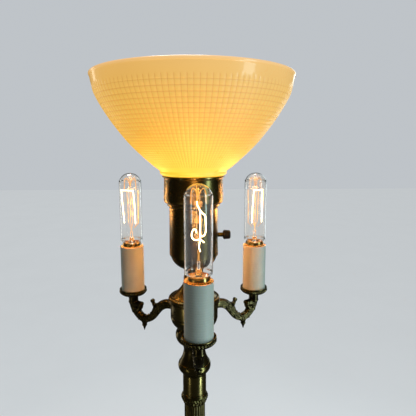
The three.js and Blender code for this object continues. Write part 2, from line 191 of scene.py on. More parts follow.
def meshFrom(name, shape, matrix=None, crease=38):
    mesh = bpy.data.meshes.new(name)
    mesh.from_pydata([tuple(c * mm for c in v) for v in shape[0]], [], shape[1])
    if matrix:
        mesh.transform(matrix)
    build = bmesh.new()
    build.from_mesh(mesh)
    bmesh.ops.recalc_face_normals(build, faces=build.faces)
    build.to_mesh(mesh)
    build.free()
    mesh.shade_smooth()
    mesh.set_sharp_from_angle(angle=math.radians(crease))
    return mesh


def added(name, data):
    thing = bpy.data.objects.new(name, data)
    bpy.context.scene.collection.objects.link(thing)
    return thing


def place(name, mesh, body, material, nodes=()):
    piece = added(name, mesh)
    mesh.materials.clear()
    mesh.materials.append(material)
    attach(piece, body)
    if nodes:
        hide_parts(*nodes)
    return piece


def settled(piece):
    # bakes the piece's modifiers into its mesh
    graph = bpy.context.evaluated_depsgraph_get()
    graph.update()
    fresh = bpy.data.meshes.new_from_object(piece.evaluated_get(graph))
    piece.modifiers.clear()
    old, piece.data = piece.data, fresh
    bpy.data.meshes.remove(old)


def drilled(piece, holes):
    # holes are (start, end, radius) in millimetres
    for start, end, radius in holes:
        bar = [(*start, radius, radius), (*end, radius, radius)]
        direction = (Vector(end) - Vector(start)).normalized()
        tool = added("tool", meshFrom("tool", swept(bar, 40, direction.orthogonal())))
        cut = piece.modifiers.new("hole", "BOOLEAN")
        cut.operation = "DIFFERENCE"
        cut.solver = "EXACT"
        cut.object = tool
        settled(piece)
        bpy.data.objects.remove(tool)
    piece.data.shade_smooth()
    piece.data.set_sharp_from_angle(angle=math.radians(38))
    return piece


def fused(shape, voxel, passes):
    # melts overlapping shapes into one skin, as in a casting
    piece = added("casting", meshFrom("casting", shape))
    melt = piece.modifiers.new("melt", "REMESH")
    melt.mode = "VOXEL"
    melt.voxel_size = voxel * mm
    settled(piece)
    mesh = piece.data.copy()
    bpy.data.objects.remove(piece)
    build = bmesh.new()
    build.from_mesh(mesh)
    for _ in range(passes):
        bmesh.ops.smooth_vert(build, verts=build.verts, factor=0.5, use_axis_x=True, use_axis_y=True,
                              use_axis_z=True)
    build.to_mesh(mesh)
    build.free()
    mesh.shade_smooth()
    return mesh


# shared surface effects, as node groups

def newGroup(name, inputs, outputs):
    group = bpy.data.node_groups.new(name, "ShaderNodeTree")
    for label, kind, value in inputs:
        group.interface.new_socket(name=label, in_out="INPUT", socket_type=kind).default_value = value
    for label, kind in outputs:
        group.interface.new_socket(name=label, in_out="OUTPUT", socket_type=kind)
    entry = group.nodes.new("NodeGroupInput")
    outlet = group.nodes.new("NodeGroupOutput")
    return group, entry, outlet


def feed(value, socket):
    socket.id_data.links.new(value, socket)


def node(tree, kind, **values):
    made = tree.nodes.new(kind)
    for key, value in values.items():
        if key in made.inputs:
            made.inputs[key].default_value = value
        else:
            setattr(made, key, value)
    return made


def mathNode(tree, operation, a, b=0.0, clamp=False):
    made = tree.nodes.new("ShaderNodeMath")
    made.operation = operation
    made.use_clamp = clamp
    for socket, value in zip(made.inputs, (a, b)):
        if isinstance(value, (int, float)):
            socket.default_value = value
        else:
            feed(value, socket)
    return made.outputs[0]


def mixColours(tree, share, a, b, blend="MIX"):
    made = tree.nodes.new("ShaderNodeMix")
    made.data_type = "RGBA"
    made.blend_type = blend
    for index, value in ((0, share), (6, a), (7, b)):
        if isinstance(value, bpy.types.NodeSocket):
            feed(value, made.inputs[index])
        else:
            made.inputs[index].default_value = value
    return made.outputs[2]


def spread(tree, value, low, high, toLow=0.0, toHigh=1.0):
    made = tree.nodes.new("ShaderNodeMapRange")
    feed(value, made.inputs[0])
    for index, number in enumerate((low, high, toLow, toHigh), 1):
        made.inputs[index].default_value = number
    return made.outputs[0]


def ramped(tree, value, stops):
    # colours along a value, each at its own share of the way
    ramp = tree.nodes.new("ShaderNodeValToRGB")
    while len(ramp.color_ramp.elements) < len(stops):
        ramp.color_ramp.elements.new(0.5)
    for element, (share, colour) in zip(ramp.color_ramp.elements, stops):
        element.position = share
        element.color = (*colour, 1)
    feed(value, ramp.inputs[0])
    return ramp.outputs[0]


def heightIn(tree):
    # height above the floor, in metres
    split = tree.nodes.new("ShaderNodeSeparateXYZ")
    feed(tree.nodes.new("ShaderNodeTexCoord").outputs["Object"], split.inputs[0])
    return split.outputs["Z"]


def bumped(tree, height, strength, distance, principled):
    relief = node(tree, "ShaderNodeBump", Strength=strength, Distance=distance)
    feed(height, relief.inputs["Height"])
    feed(relief.outputs[0], principled.inputs["Normal"])


def noise(tree, scale, detail=4.0, roughness=0.6, stretch=None):
    # noise over the piece's own coordinates; stretch scales the three axes
    place3d = tree.nodes.new("ShaderNodeTexCoord").outputs["Object"]
    if stretch:
        mapping = tree.nodes.new("ShaderNodeMapping")
        mapping.inputs["Scale"].default_value = stretch
        feed(place3d, mapping.inputs["Vector"])
        place3d = mapping.outputs[0]
    made = tree.nodes.new("ShaderNodeTexNoise")
    feed(place3d, made.inputs["Vector"])
    made.inputs["Detail"].default_value = detail
    made.inputs["Roughness"].default_value = roughness
    if isinstance(scale, bpy.types.NodeSocket):
        feed(scale, made.inputs["Scale"])
    else:
        made.inputs["Scale"].default_value = scale
    return made.outputs["Fac"]


def roughen(group, share, entry, outlet):
    rough = group.nodes.new("ShaderNodeMix")
    feed(share, rough.inputs[0])
    feed(entry.outputs["Smooth"], rough.inputs[2])
    feed(entry.outputs["Dull"], rough.inputs[3])
    feed(rough.outputs[0], outlet.inputs["Roughness"])


def buildAgedMetal():
    # patina in the hollows, rubbed bright edges, cloudy tarnish and fine pits
    group, entry, outlet = newGroup(
        "agedMetal",
        [("Metal", "NodeSocketColor", (0.3, 0.2, 0.1, 1)),
         ("Patina", "NodeSocketColor", (0.05, 0.04, 0.02, 1)),
         ("Worn", "NodeSocketColor", (0.7, 0.5, 0.2, 1)), ("Scale", "NodeSocketFloat", 40.0),
         ("Tarnish", "NodeSocketFloat", 0.5), ("Wear", "NodeSocketFloat", 0.5),
         ("Smooth", "NodeSocketFloat", 0.25), ("Dull", "NodeSocketFloat", 0.5)],
        [("Colour", "NodeSocketColor"), ("Roughness", "NodeSocketFloat"), ("Height", "NodeSocketFloat")])
    clouds = noise(group, entry.outputs["Scale"], 6.0, 0.65)
    specks = noise(group, mathNode(group, "MULTIPLY", entry.outputs["Scale"], 14.0), 3.0, 0.7)
    point = group.nodes.new("ShaderNodeNewGeometry").outputs["Pointiness"]
    hollow = spread(group, point, 0.5, 0.46)
    raised = spread(group, point, 0.505, 0.56)
    blotches = spread(group, clouds, 0.4, 0.62)
    tarnish = mathNode(group, "MULTIPLY", blotches, entry.outputs["Tarnish"])
    dark = mathNode(group, "MAXIMUM", tarnish, hollow, True)
    rubbed = mathNode(group, "MULTIPLY", raised, spread(group, clouds, 0.7, 0.35), True)
    rubbed = mathNode(group, "MULTIPLY", rubbed, entry.outputs["Wear"], True)
    colour = mixColours(group, dark, entry.outputs["Metal"], entry.outputs["Patina"])
    colour = mixColours(group, rubbed, colour, entry.outputs["Worn"])
    colour = mixColours(group, spread(group, specks, 0.62, 0.72, 0.0, 0.5), colour, entry.outputs["Patina"])
    feed(colour, outlet.inputs["Colour"])
    speckled = mathNode(group, "ADD", dark, mathNode(group, "MULTIPLY", specks, 0.3), True)
    roughen(group, speckled, entry, outlet)
    height = mathNode(group, "ADD", mathNode(group, "MULTIPLY", clouds, 0.5),
                      mathNode(group, "MULTIPLY", specks, 0.5))
    feed(height, outlet.inputs["Height"])
    return group


def buildMoulded():
    # faint colour drift, handling marks and a fine skin for plastics, porcelain and painted fibre
    group, entry, outlet = newGroup(
        "mouldedSkin",
        [("Base", "NodeSocketColor", (0.5, 0.5, 0.5, 1)), ("Shade", "NodeSocketColor", (0.3, 0.3, 0.3, 1)),
         ("Scale", "NodeSocketFloat", 60.0), ("Drift", "NodeSocketFloat", 0.4),
         ("Smooth", "NodeSocketFloat", 0.2), ("Dull", "NodeSocketFloat", 0.5)],
        [("Colour", "NodeSocketColor"), ("Roughness", "NodeSocketFloat"), ("Height", "NodeSocketFloat")])
    clouds = noise(group, entry.outputs["Scale"], 5.0, 0.6)
    grain = noise(group, mathNode(group, "MULTIPLY", entry.outputs["Scale"], 22.0), 2.0, 0.5)
    share = mathNode(group, "MULTIPLY", spread(group, clouds, 0.35, 0.7), entry.outputs["Drift"], True)
    colour = mixColours(group, share, entry.outputs["Base"], entry.outputs["Shade"])
    feed(colour, outlet.inputs["Colour"])
    worn = mathNode(group, "ADD", clouds, mathNode(group, "MULTIPLY", grain, 0.4))
    roughen(group, spread(group, worn, 0.5, 0.9), entry, outlet)
    feed(grain, outlet.inputs["Height"])
    return group


agedMetal = buildAgedMetal()
mouldedSkin = buildMoulded()


def finishMaterial(name, group=None, values=None, shader=None, bump=0.0):
    # a Principled material that a shared group feeds; shader holds the plain numbers of its own sockets
    material = bpy.data.materials.new(name)
    material.use_nodes = True
    tree = material.node_tree
    principled = tree.nodes["Principled BSDF"]
    for key, value in (shader or {}).items():
        principled.inputs[key].default_value = value
    if group:
        effect = tree.nodes.new("ShaderNodeGroup")
        effect.node_tree = group
        for key, value in values.items():
            effect.inputs[key].default_value = (*value, 1) if isinstance(value, tuple) else value
        feed(effect.outputs["Colour"], principled.inputs["Base Color"])
        feed(effect.outputs["Roughness"], principled.inputs["Roughness"])
        if bump:
            bumped(tree, effect.outputs["Height"], bump, 0.0004, principled)
    return material


metals = {
    "antique_brass": dict(
        group=agedMetal, bump=0.10, shader={"Metallic": 1.0, "Coat Weight": 0.12, "Coat Roughness": 0.12},
        values={"Metal": (0.175, 0.140, 0.044), "Patina": (0.062, 0.046, 0.018), "Worn": (0.52, 0.41, 0.15),
                "Scale": 28.0, "Tarnish": 0.7, "Wear": 0.5, "Smooth": 0.20, "Dull": 0.36}),
    "cast_brass": dict(
        group=agedMetal, bump=0.25, shader={"Metallic": 1.0, "Coat Weight": 0.15, "Coat Roughness": 0.25},
        values={"Metal": (0.085, 0.066, 0.024), "Patina": (0.012, 0.009, 0.005), "Worn": (0.74, 0.60, 0.24),
                "Scale": 60.0, "Tarnish": 0.75, "Wear": 0.95, "Smooth": 0.16, "Dull": 0.32}),
    "plain_brass": dict(
        group=agedMetal, bump=0.05, shader={"Metallic": 1.0},
        values={"Metal": (0.70, 0.48, 0.17), "Patina": (0.34, 0.22, 0.08), "Worn": (0.86, 0.66, 0.30),
                "Scale": 60.0, "Tarnish": 0.45, "Wear": 0.4, "Smooth": 0.18, "Dull": 0.36}),
    "zinc_steel": dict(
        group=agedMetal, bump=0.12, shader={"Metallic": 1.0},
        values={"Metal": (0.46, 0.46, 0.45), "Patina": (0.22, 0.21, 0.19), "Worn": (0.6, 0.6, 0.6),
                "Scale": 70.0, "Tarnish": 0.5, "Wear": 0.5, "Smooth": 0.3, "Dull": 0.5}),
    "cast_iron": dict(
        group=agedMetal, bump=0.8, shader={"Metallic": 0.8},
        values={"Metal": (0.07, 0.068, 0.065), "Patina": (0.09, 0.045, 0.025), "Worn": (0.12, 0.12, 0.12),
                "Scale": 35.0, "Tarnish": 0.6, "Wear": 0.5, "Smooth": 0.6, "Dull": 0.9}),
}
skins = {
    "porcelain": dict(
        group=mouldedSkin, bump=0.04, shader={"Coat Weight": 0.6, "Coat Roughness": 0.06},
        values={"Base": (0.80, 0.77, 0.69), "Shade": (0.66, 0.61, 0.50), "Scale": 40.0, "Drift": 0.5,
                "Smooth": 0.12, "Dull": 0.24}),
    "black_phenolic": dict(
        group=mouldedSkin, bump=0.10, shader={"Specular IOR Level": 0.4},
        values={"Base": (0.004, 0.003, 0.003), "Shade": (0.009, 0.007, 0.006), "Scale": 120.0, "Drift": 0.7,
                "Smooth": 0.26, "Dull": 0.48}),
    "felt": dict(
        group=mouldedSkin, bump=1.0, shader={"Sheen Weight": 0.6, "Sheen Roughness": 0.6},
        values={"Base": (0.020, 0.034, 0.020), "Shade": (0.036, 0.054, 0.034), "Scale": 160.0, "Drift": 1.0,
                "Smooth": 0.9, "Dull": 1.0}),
}
materials = {name: finishMaterial(name, **recipe) for name, recipe in {**metals, **skins}.items()}


def buildCoverMaterial():
    # painted fibre tube: off-white skin, fine turned lines, browned cut edge at its top
    material = finishMaterial(
        "ivory_cover", mouldedSkin,
        {"Base": (0.76, 0.76, 0.68), "Shade": (0.66, 0.64, 0.55), "Scale": 45.0, "Drift": 0.6,
         "Smooth": 0.42, "Dull": 0.6},
        {"Subsurface Weight": 0.08, "Subsurface Radius": (0.004, 0.002, 0.001)})
    tree = material.node_tree
    principled = tree.nodes["Principled BSDF"]
    effect = next(n for n in tree.nodes if n.type == "GROUP")
    cutEdge = spread(tree, heightIn(tree), (coverTop - 0.9) * mm, (coverTop - 0.2) * mm)
    feed(mixColours(tree, cutEdge, effect.outputs["Colour"], (0.30, 0.17, 0.08, 1)),
                   principled.inputs["Base Color"])
    lines = noise(tree, 1.0, 2.0, 0.5, (6.0, 6.0, 1500.0))
    bumped(tree, mathNode(tree, "ADD", lines, effect.outputs["Height"]), 0.35, 0.0003, principled)
    return material


def buildMilkGlass():
    # opal glass with the bulb's light through it painted in as emission: deeper yellow near the bulb at the
    # foot, creamier towards the rim, painted shade along the pressed lines
    material = finishMaterial("milk_glass", shader={"Coat Roughness": 0.05, "Emission Strength": 1.0,
                                                    "Specular IOR Level": 0.25})
    tree = material.node_tree
    principled = tree.nodes["Principled BSDF"]
    share = spread(tree, heightIn(tree), edges("glass_bowl")[0] * mm, rimHeight * mm)
    feed(spread(tree, share, 0.84, 0.90, 0.03, 0.5), principled.inputs["Coat Weight"])
    glow = ramped(tree, share, [
        (0.0, (0.93, 0.56, 0.012)), (0.2, (0.92, 0.52, 0.018)), (0.45, (0.80, 0.42, 0.036)),
        (0.75, (0.76, 0.42, 0.068)), (0.97, (0.78, 0.44, 0.11)), (1.0, (0.90, 0.54, 0.24))])
    clouds = noise(tree, 9.0, 3.0, 0.5)
    pressed = tree.nodes.new("ShaderNodeAttribute")
    pressed.attribute_name = "pressed"
    # painted shade: the pressed lines and faint clouds darken the painted glow and the glass's colour
    shade = mathNode(tree, "ADD", mathNode(tree, "MULTIPLY", pressed.outputs["Fac"], 0.42),
                     spread(tree, clouds, 0.35, 0.7, 0.0, 0.08))
    lit = mixColours(tree, shade, glow, (0.30, 0.13, 0.02, 1))
    feed(lit, principled.inputs["Emission Color"])
    feed(mixColours(tree, shade, (0.34, 0.28, 0.19, 1), (0.26, 0.18, 0.10, 1)),
                   principled.inputs["Base Color"])
    feed(spread(tree, noise(tree, 50.0, 4.0, 0.6), 0.35, 0.7, 0.26, 0.42),
                   principled.inputs["Roughness"])
    return material


def buildClearGlass(name, tint, roughLow, roughHigh, extra):
    material = finishMaterial(name, shader={"Transmission Weight": 1.0, "IOR": 1.45, **extra})
    tree = material.node_tree
    principled = tree.nodes["Principled BSDF"]
    smears = noise(tree, 60.0, 5.0, 0.6)
    feed(spread(tree, smears, 0.4, 0.75, roughLow, roughHigh), principled.inputs["Roughness"])
    feed(mixColours(tree, spread(tree, smears, 0.3, 0.8), (1, 1, 1, 1), tint),
                   principled.inputs["Base Color"])
    return material


def buildFilament():
    # the glow attribute on the wires runs from a dull orange lead, whose glow is painted light from the
    # filament, to a white-hot strand
    material = finishMaterial("glowing_filament",
                              shader={"Roughness": 0.4, "Metallic": 1.0, "Emission Strength": 40.0})
    tree = material.node_tree
    principled = tree.nodes["Principled BSDF"]
    glowLevel = tree.nodes.new("ShaderNodeAttribute")
    glowLevel.attribute_name = "wireGlow"
    flicker = spread(tree, noise(tree, 300.0, 2.0, 0.5), 0.3, 0.7, -0.08, 0.08)
    level = mathNode(tree, "ADD", glowLevel.outputs["Fac"], flicker, True)
    glow = ramped(tree, level, [(0.0, (0.0004, 0.0001, 0)), (0.35, (0.015, 0.0048, 0.0005)),
                                (0.65, (0.042, 0.019, 0.0034)), (1.0, (0.24, 0.17, 0.085))])
    feed(glow, principled.inputs["Emission Color"])
    feed(mixColours(tree, level, (0.05, 0.045, 0.04, 1), (0.02, 0.016, 0.012, 1)),
                   principled.inputs["Base Color"])
    return material


materials["ivory_cover"] = buildCoverMaterial()
materials["milk_glass"] = buildMilkGlass()
materials["clear_glass"] = buildClearGlass("clear_glass", (1.0, 0.96, 0.90, 1), 0.0, 0.012, {})
materials["frosted_glass"] = buildClearGlass(
    "frosted_glass", (1.0, 0.93, 0.80, 1), 0.45, 0.6,
    {"Transmission Weight": 0.4, "Emission Color": (1.0, 0.74, 0.40, 1), "Emission Strength": 2.6})
materials["glowing_filament"] = buildFilament()
print("materials made:", len(materials))

for name, cadNode in frame["nodes"].items():
    slotName = next(row["material_slot"] for row in frame["record"]["subparts"] if row["node"] == name)
    cadNode.data.materials.clear()
    cadNode.data.materials.append(materials[slotName])


def turnedPiece(name, section, body="lamp", slot="antique_brass", nodes=None, around=96, shape=None,
                centre=(0, 0), holes=(), **easing):
    # most of the lamp is turned, spun or drawn: one closed section round one axis
    onAxis = section[0][0] == 0 and section[-1][0] == 0
    line = curved(section, closed=not onAxis, **easing)
    piece = place(name, meshFrom(name, spun(line, around, shape, centre)), body, materials[slot],
                  nodes or [name.removesuffix("_fine")])
    return drilled(piece, holes) if holes else piece


bowl = {
    "lip": [
        (123.4, 1498.6, 1), (124.6, 1499.8), (125.8, 1500), (126.9, 1498.9), (126.9, 1497.2),
        (126.0, 1495.9), (125.9, 1495.0)],
    "side": [
        (125.9, 1495.0), (124.1, 1486), (122, 1477), (117.7, 1467.8), (112.5, 1458.6), (106.6, 1449.2),
        (100.1, 1439.7), (92.9, 1430.1), (85, 1420.3), (75.8, 1410.3), (65.1, 1400.1), (53.5, 1389.8),
        (47.2, 1384.8)],
    "foot": [
        (47.2, 1384.8), (44.6, 1382.8), (43.3, 1381.4), (43.6, 1379.8), (43.0, 1378.0), (40.3, 1376.1, 1),
        (36.5, 1376.1, 1), (36.5, 1367.1, 1), (32.8, 1367.1, 1), (32.8, 1377.0)],
    "inside": [
        (32.8, 1377.0), (36.4, 1382), (43.6, 1387.8), (62, 1403.6), (81.8, 1423.6), (97.2, 1442.6),
        (109, 1460.6), (114, 1469), (118, 1477.2), (120.4, 1486), (122.2, 1494), (123.4, 1498.6)],
    "lines": 120,  # pressed lines round the bowl; the rings between them keep the cells square
    "gridTop": 1484.4, "firstRing": 1479.0, "gridBottom": 1388.0,
    "depth": 0.32, "lineShare": 0.11,
}


def makeBowl():
    side = through(bowl["side"], 0.25)
    cell = 0.0  # cells counted down from the first ring
    previous = None
    phases = [0, bowl["lineShare"], 0.5, 1 - bowl["lineShare"]]
    marks = []
    for r, z in side:
        if previous and z <= bowl["firstRing"]:
            cell += math.dist((r, z), previous) / (tau * r / bowl["lines"])
        marks.append((r, z, cell))
        previous = (r, z)
    upper = [(r, z, 0.0) for r, z, c in marks if z > bowl["firstRing"]][::8]
    wanted, lower = 0, []
    for a, b in zip(marks, marks[1:]):
        if b[1] > bowl["firstRing"] or b[1] < bowl["gridBottom"]:
            continue
        while int(wanted / 4) + phases[wanted % 4] <= b[2]:
            target = int(wanted / 4) + phases[wanted % 4]
            share = (target - a[2]) / max(b[2] - a[2], 1e-9)
            ring = 1.0 if wanted % 4 == 0 else 0.0
            lower.append((a[0] + (b[0] - a[0]) * share, a[1] + (b[1] - a[1]) * share, ring))
            wanted += 1
    rest = [(r, z, 0.0) for r, z in side if z < bowl["gridBottom"]][::6]
    rest.append((*bowl["side"][-1], 0.0))
    lip = [(r, z, 0.0) for r, z in curved(bowl["lip"], 0.5, closed=False)[:-1]]
    foot = [(r, z, 0.0) for r, z in curved(bowl["foot"], 0.6, closed=False)[1:]]
    inside = [(r, z, 0.0) for r, z in through(bowl["inside"], 2.5)[1:-1]]
    rows = lip + upper + lower + rest + foot + inside
    gridRows = range(len(lip), len(lip) + len(upper) + len(lower) + len(rest))
    step = tau / bowl["lines"]
    angles = [(k + phase) * step for k in range(bowl["lines"]) for phase in phases]
    pressed = []

    def pressedIn(r, z, angle, row, k):
        upright = row in gridRows and k % 4 == 0 and bowl["gridBottom"] < z < bowl["gridTop"]
        line = max(float(upright), rows[row][2])
        pressed.append(line)
        return r - bowl["depth"] * line

    shape = spun([(r, z) for r, z, ring in rows], angles, pressedIn)
    mesh = meshFrom("milk_bowl", shape, crease=60)
    mark = mesh.attributes.new("pressed", "FLOAT", "POINT")
    mark.data.foreach_set("value", pressed)
    place("milk_bowl", mesh, "bowl", materials["milk_glass"], ["glass_bowl"])


makeBowl()
print("bowl made")

# husk, its cap and the holder the glass stands in

husk = {
    "switchHole": 3.6,
    "shade_holder": [
        (29.8, 1334.3, 1), (32.3, 1334.3, 1), (32.9, 1335.6), (34.6, 1336.4, 1), (34.7, 1338.6),
        (35.6, 1339.6), (37.4, 1340.4), (38.6, 1342.2), (38.9, 1345), (38.6, 1358), (38.4, 1371.6),
        (39.2, 1373), (40.3, 1373.6), (40.5, 1374.6), (40.0, 1375.6, 1), (37.4, 1375.6, 1), (37.3, 1372),
        (37.5, 1346), (36.8, 1342.6), (33.4, 1340), (31.4, 1336.4), (29.8, 1335.6, 1)],
    "husk_tube": [
        (31.1, 1269.4, 1), (32.3, 1269.4, 1), (32.5, 1272), (32.4, 1290), (32.1, 1315), (31.9, 1334, 1),
        (30.6, 1334, 1), (30.8, 1315), (31.1, 1290)],
    "husk_cap": [
        (5.4, 1240.4, 1), (12.6, 1240.4, 1), (13.1, 1242), (13.0, 1246.6), (14.0, 1249.4),
        (16.4, 1251.6, 1), (17.0, 1252.4), (21.6, 1254.6), (26.0, 1258.6), (29.0, 1263), (30.6, 1267),
        (31.2, 1269, 1), (29.8, 1269, 1), (27.6, 1263.4), (24.2, 1259.2), (20, 1256.2), (14.2, 1253),
        (11.7, 1249), (11.7, 1242, 1), (5.4, 1241.8, 1)],
}
knobHeight = sum(edges("main_switch_knob")) / 2
turnedPiece("shade_holder_fine", husk["shade_holder"], around=128)
turnedPiece("husk_tube_fine", husk["husk_tube"], around=128,
            holes=[((26, 0, knobHeight), (38, 0, knobHeight), husk["switchHole"])])
turnedPiece("husk_cap_fine", husk["husk_cap"], around=128)

hub = {
    "drill": (24, 37), "armHole": 5.1, "switchHole": 3.4,  # a drill's start and end from the axis, hole radii
    "hub_bell": [
        (5.4, 1240, 1), (13.2, 1240, 1), (13.8, 1238.8), (14.0, 1236), (14.3, 1231.6), (15.8, 1226.6),
        (18.7, 1222.2), (21.8, 1218.6), (24.7, 1215.8), (27.8, 1213.2), (30.2, 1211.6, 1),
        (30.6, 1210.9, 1), (31.4, 1211.2), (33.4, 1210.5), (34.8, 1208.8), (35.1, 1207),
        (34.5, 1205.5, 1), (35.1, 1204.9), (35.1, 1203.9), (34.6, 1203.4, 1), (32.4, 1203.4, 1),
        (32.5, 1207), (31.8, 1208.6), (29.6, 1209.6), (23.8, 1213.8), (17.7, 1220.8), (14.8, 1225.8),
        (13.0, 1231.6), (12.6, 1238.6, 1), (5.4, 1238.6, 1)],
    "hub_drum": [
        (5.4, 1166.1, 1), (17, 1166.1, 1), (20.4, 1166.6), (24.6, 1168.4), (28.2, 1171.4), (30.8, 1175.4),
        (32.2, 1180, 1), (32.4, 1181), (32.4, 1183, 1), (32.0, 1183.5), (32.0, 1184.1), (32.4, 1184.6, 1),
        (32.4, 1202.9, 1), (31.0, 1202.9, 1), (31.0, 1180.4), (28.8, 1174.6), (24.2, 1169.9),
        (17, 1167.5), (5.4, 1167.5, 1)],
}
armHeight = 1190
switchHeight = sum(edges("candle_switch_knob")) / 2
armHoles = []
for turn in armTurns.values():
    start, end = ((r * math.cos(turn), r * math.sin(turn), armHeight) for r in hub["drill"])
    armHoles.append((start, end, hub["armHole"]))
turnedPiece("hub_bell_fine", hub["hub_bell"], around=128)
turnedPiece("hub_drum_fine", hub["hub_drum"], around=128,
            holes=armHoles + [(*((0, r, switchHeight) for r in hub["drill"]), hub["switchHole"])])

bore = 11.5
column = {
    "knop": [
        (bore, 1133.1, 1), (14.8, 1133.1, 1), (15.1, 1135.4), (15.8, 1138.2), (17.6, 1141.2),
        (20.4, 1144), (23.4, 1147), (25.3, 1151), (25.9, 1155.2), (25.4, 1158.8), (23.8, 1161.4, 1),
        (22.4, 1162.6), (18.8, 1164.2), (16.0, 1165.6, 1), (bore, 1165.6, 1)],
    "baluster": [
        (bore, 1097.6, 1), (16.6, 1097.6, 1), (16.8, 1098.6), (18.4, 1100.6), (20.6, 1102.8),
        (22.2, 1105.8), (22.8, 1109.4), (22.6, 1112), (21.8, 1114, 1), (20.9, 1114.3, 1), (19.6, 1117.4),
        (17.9, 1120.8), (16.6, 1124.4), (15.7, 1128), (15.1, 1131), (15, 1132.6, 1), (bore, 1132.6, 1)],
    "neck_tube": [(15.1, 1069.1, 1), (16.35, 1069.1, 1), (16.35, 1097.1, 1), (15.1, 1097.1, 1)],
    "foot_vase": [
        (bore, 58.4, 1), (35.6, 58.4, 1), (36, 60), (35.8, 64), (34.2, 66.4, 1), (29, 69), (24.6, 71.4),
        (23.4, 74), (25, 76.6), (28.2, 80), (30, 86), (29, 93), (25.4, 101), (20.6, 110), (17.2, 117),
        (16.2, 120.4, 1), (18.0, 122.2), (18.7, 124.2), (18.2, 126.6), (16.8, 128, 1), (16.0, 129.6),
        (15.6, 131.6, 1), (bore, 131.6, 1)],
}
collar = {
    "foot": 1052.1,
    "section": [
        (bore, 1052.1, 1), (15.1, 1052.1, 1), (15.6, 1053.2), (16.6, 1054.2), (17.4, 1055.4),
        (17.5, 1056.8), (17.0, 1058, 1), (17.0, 1058.5, 1), (18.2, 1059), (19.1, 1060.2), (19.2, 1061.6),
        (18.7, 1063.2), (17.6, 1064.4, 1), (17.2, 1065), (16.8, 1066.4), (16.5, 1068.6, 1),
        (bore, 1068.6, 1)],
    "grooveHeight": 1058.2,
    "beads": 20, "beadDepth": 1.3,  # one under each reed
    "strands": 30, "strandDepth": 0.8, "twist": 0.6,
}
knuckle = {
    "half": [
        (15.4, 39.7, 1), (15.8, 38), (17.2, 36.8), (17.5, 35.2), (16.2, 33.2, 1), (17.4, 31.4),
        (18.9, 29), (18.8, 25.4), (17.4, 20.8), (16.0, 16.4), (15.8, 13), (17.0, 9.6), (20.2, 7),
        (22.0, 5.6, 1), (22.6, 4.4), (22.7, 2.2, 1)],
    "beads": 30, "beadDepth": 0.55,
}
for name, section in column.items():
    turnedPiece(name + "_fine", section)


def beadedCollar(r, z, angle, row, k):
    if 15.8 < r and z < collar["grooveHeight"]:
        return r - collar["beadDepth"] * (0.5 + 0.5 * math.cos(collar["beads"] * angle)) * min(1, r - 15.8)
    if r > 17.6:
        turn = collar["strands"] * angle + collar["twist"] * tau * (z - collar["grooveHeight"]) / 5
        return r - collar["strandDepth"] * (0.5 - 0.5 * math.cos(turn))
    return r


turnedPiece("ring_collar_fine", collar["section"], around=320, shape=beadedCollar, step=0.4)

knuckleMiddle = sum(edges("middle_knuckle")) / 2
below = [(r, knuckleMiddle - z, *edge) for r, z, *edge in knuckle["half"]]
above = [(r, knuckleMiddle + z, *edge) for r, z, *edge in reversed(knuckle["half"])]
knuckleSection = [(bore, knuckleMiddle - 39.7, 1), *below, *above, (bore, knuckleMiddle + 39.7, 1)]


def beadedKnuckle(r, z, angle, row, k):
    if r > 21.4:
        return r - knuckle["beadDepth"] * (0.5 - 0.5 * math.cos(knuckle["beads"] * angle))
    return r


turnedPiece("middle_knuckle_fine", knuckleSection, around=240, shape=beadedKnuckle)

reeds = {"count": 20, "radius": 14.8, "depth": 0.95, "perReed": 12, "bore": 13.0}


def reededTube(name, bottom, top):
    # rolled reeds: rounded ribs with narrow valleys between them
    section = [(reeds["bore"], bottom, 1), (reeds["radius"], bottom, 1), (reeds["radius"], top, 1),
               (reeds["bore"], top, 1)]

    def reeded(r, z, angle, row, k):
        if r < reeds["bore"] + 0.6:
            return r
        return r - reeds["depth"] * (1 - abs(math.sin(reeds["count"] * angle / 2)) ** 0.7)

    turnedPiece(name + "_fine", section, around=reeds["count"] * reeds["perReed"],
                shape=reeded)


# the upper one ends under the collar's beads
reededTube("upper_reeded_tube", edges("upper_reeded_tube")[0], collar["foot"] - 0.1)
reededTube("lower_reeded_tube", *edges("lower_reeded_tube"))
print("husk, hub and column made")

base = {
    "cover": [
        (136.4, 2.4, 1), (137.8, 2.4, 1), (139.4, 4), (140, 7), (139.4, 10), (137.4, 12.4),
        (134.0, 13.6, 1), (132.6, 13.6), (129, 14.8, 1), (122, 15.8), (115.4, 17.2), (113.2, 18.6),
        (112.4, 20.4, 1), (112, 22), (111.8, 30), (110.4, 32.2), (107.4, 33, 1), (106, 33.8),
        (101.4, 34.2, 1), (88, 34.8), (72, 37.6), (60, 42), (50, 48.4), (43, 54.6), (39.4, 57.2),
        (37.4, 58, 1), (5.4, 58, 1), (5.4, 56.7, 1), (37, 56.7), (49, 46.6), (65, 38.6), (87, 33.4),
        (104, 31.8, 1), (110.2, 29, 1), (110.6, 17.4, 1), (135.8, 11.4), (138, 7.4)],
    "gadroons": 72, "gadroonDepth": 0.9, "flexHole": 4.7,
}


def gadrooned(r, z, angle, row, k):
    # leaf-like lobes round the outer roll
    if r > 136.6 and z > 3 and row < 40:
        lobe = 0.5 - 0.5 * math.cos(base["gadroons"] * angle)
        return r - base["gadroonDepth"] * lobe * min(1, (z - 3) / 4)
    return r


inletHeight = sum(edges("cord_bushing")[:2]) / 2
turnedPiece("base_cover_fine", base["cover"], around=576, shape=gadrooned,
            holes=[((0, 96, inletHeight), (0, 118, inletHeight), base["flexHole"])], step=1.2)
feltTop = edges("felt_pad")[1]
felt = {"radius": 133, "fluff": 0.25}
feltSection = [(0, 0), (felt["radius"], 0, 1), (133.9, 0.7), (133.9, 1.4), (133.2, feltTop, 1), (0, feltTop)]


def fluffy(r, z, angle, row, k):
    return r - (felt["fluff"] * random.random() if r > felt["radius"] - 1 else 0)


turnedPiece("felt_pad_fine", feltSection, "lamp", "felt", around=192, shape=fluffy)


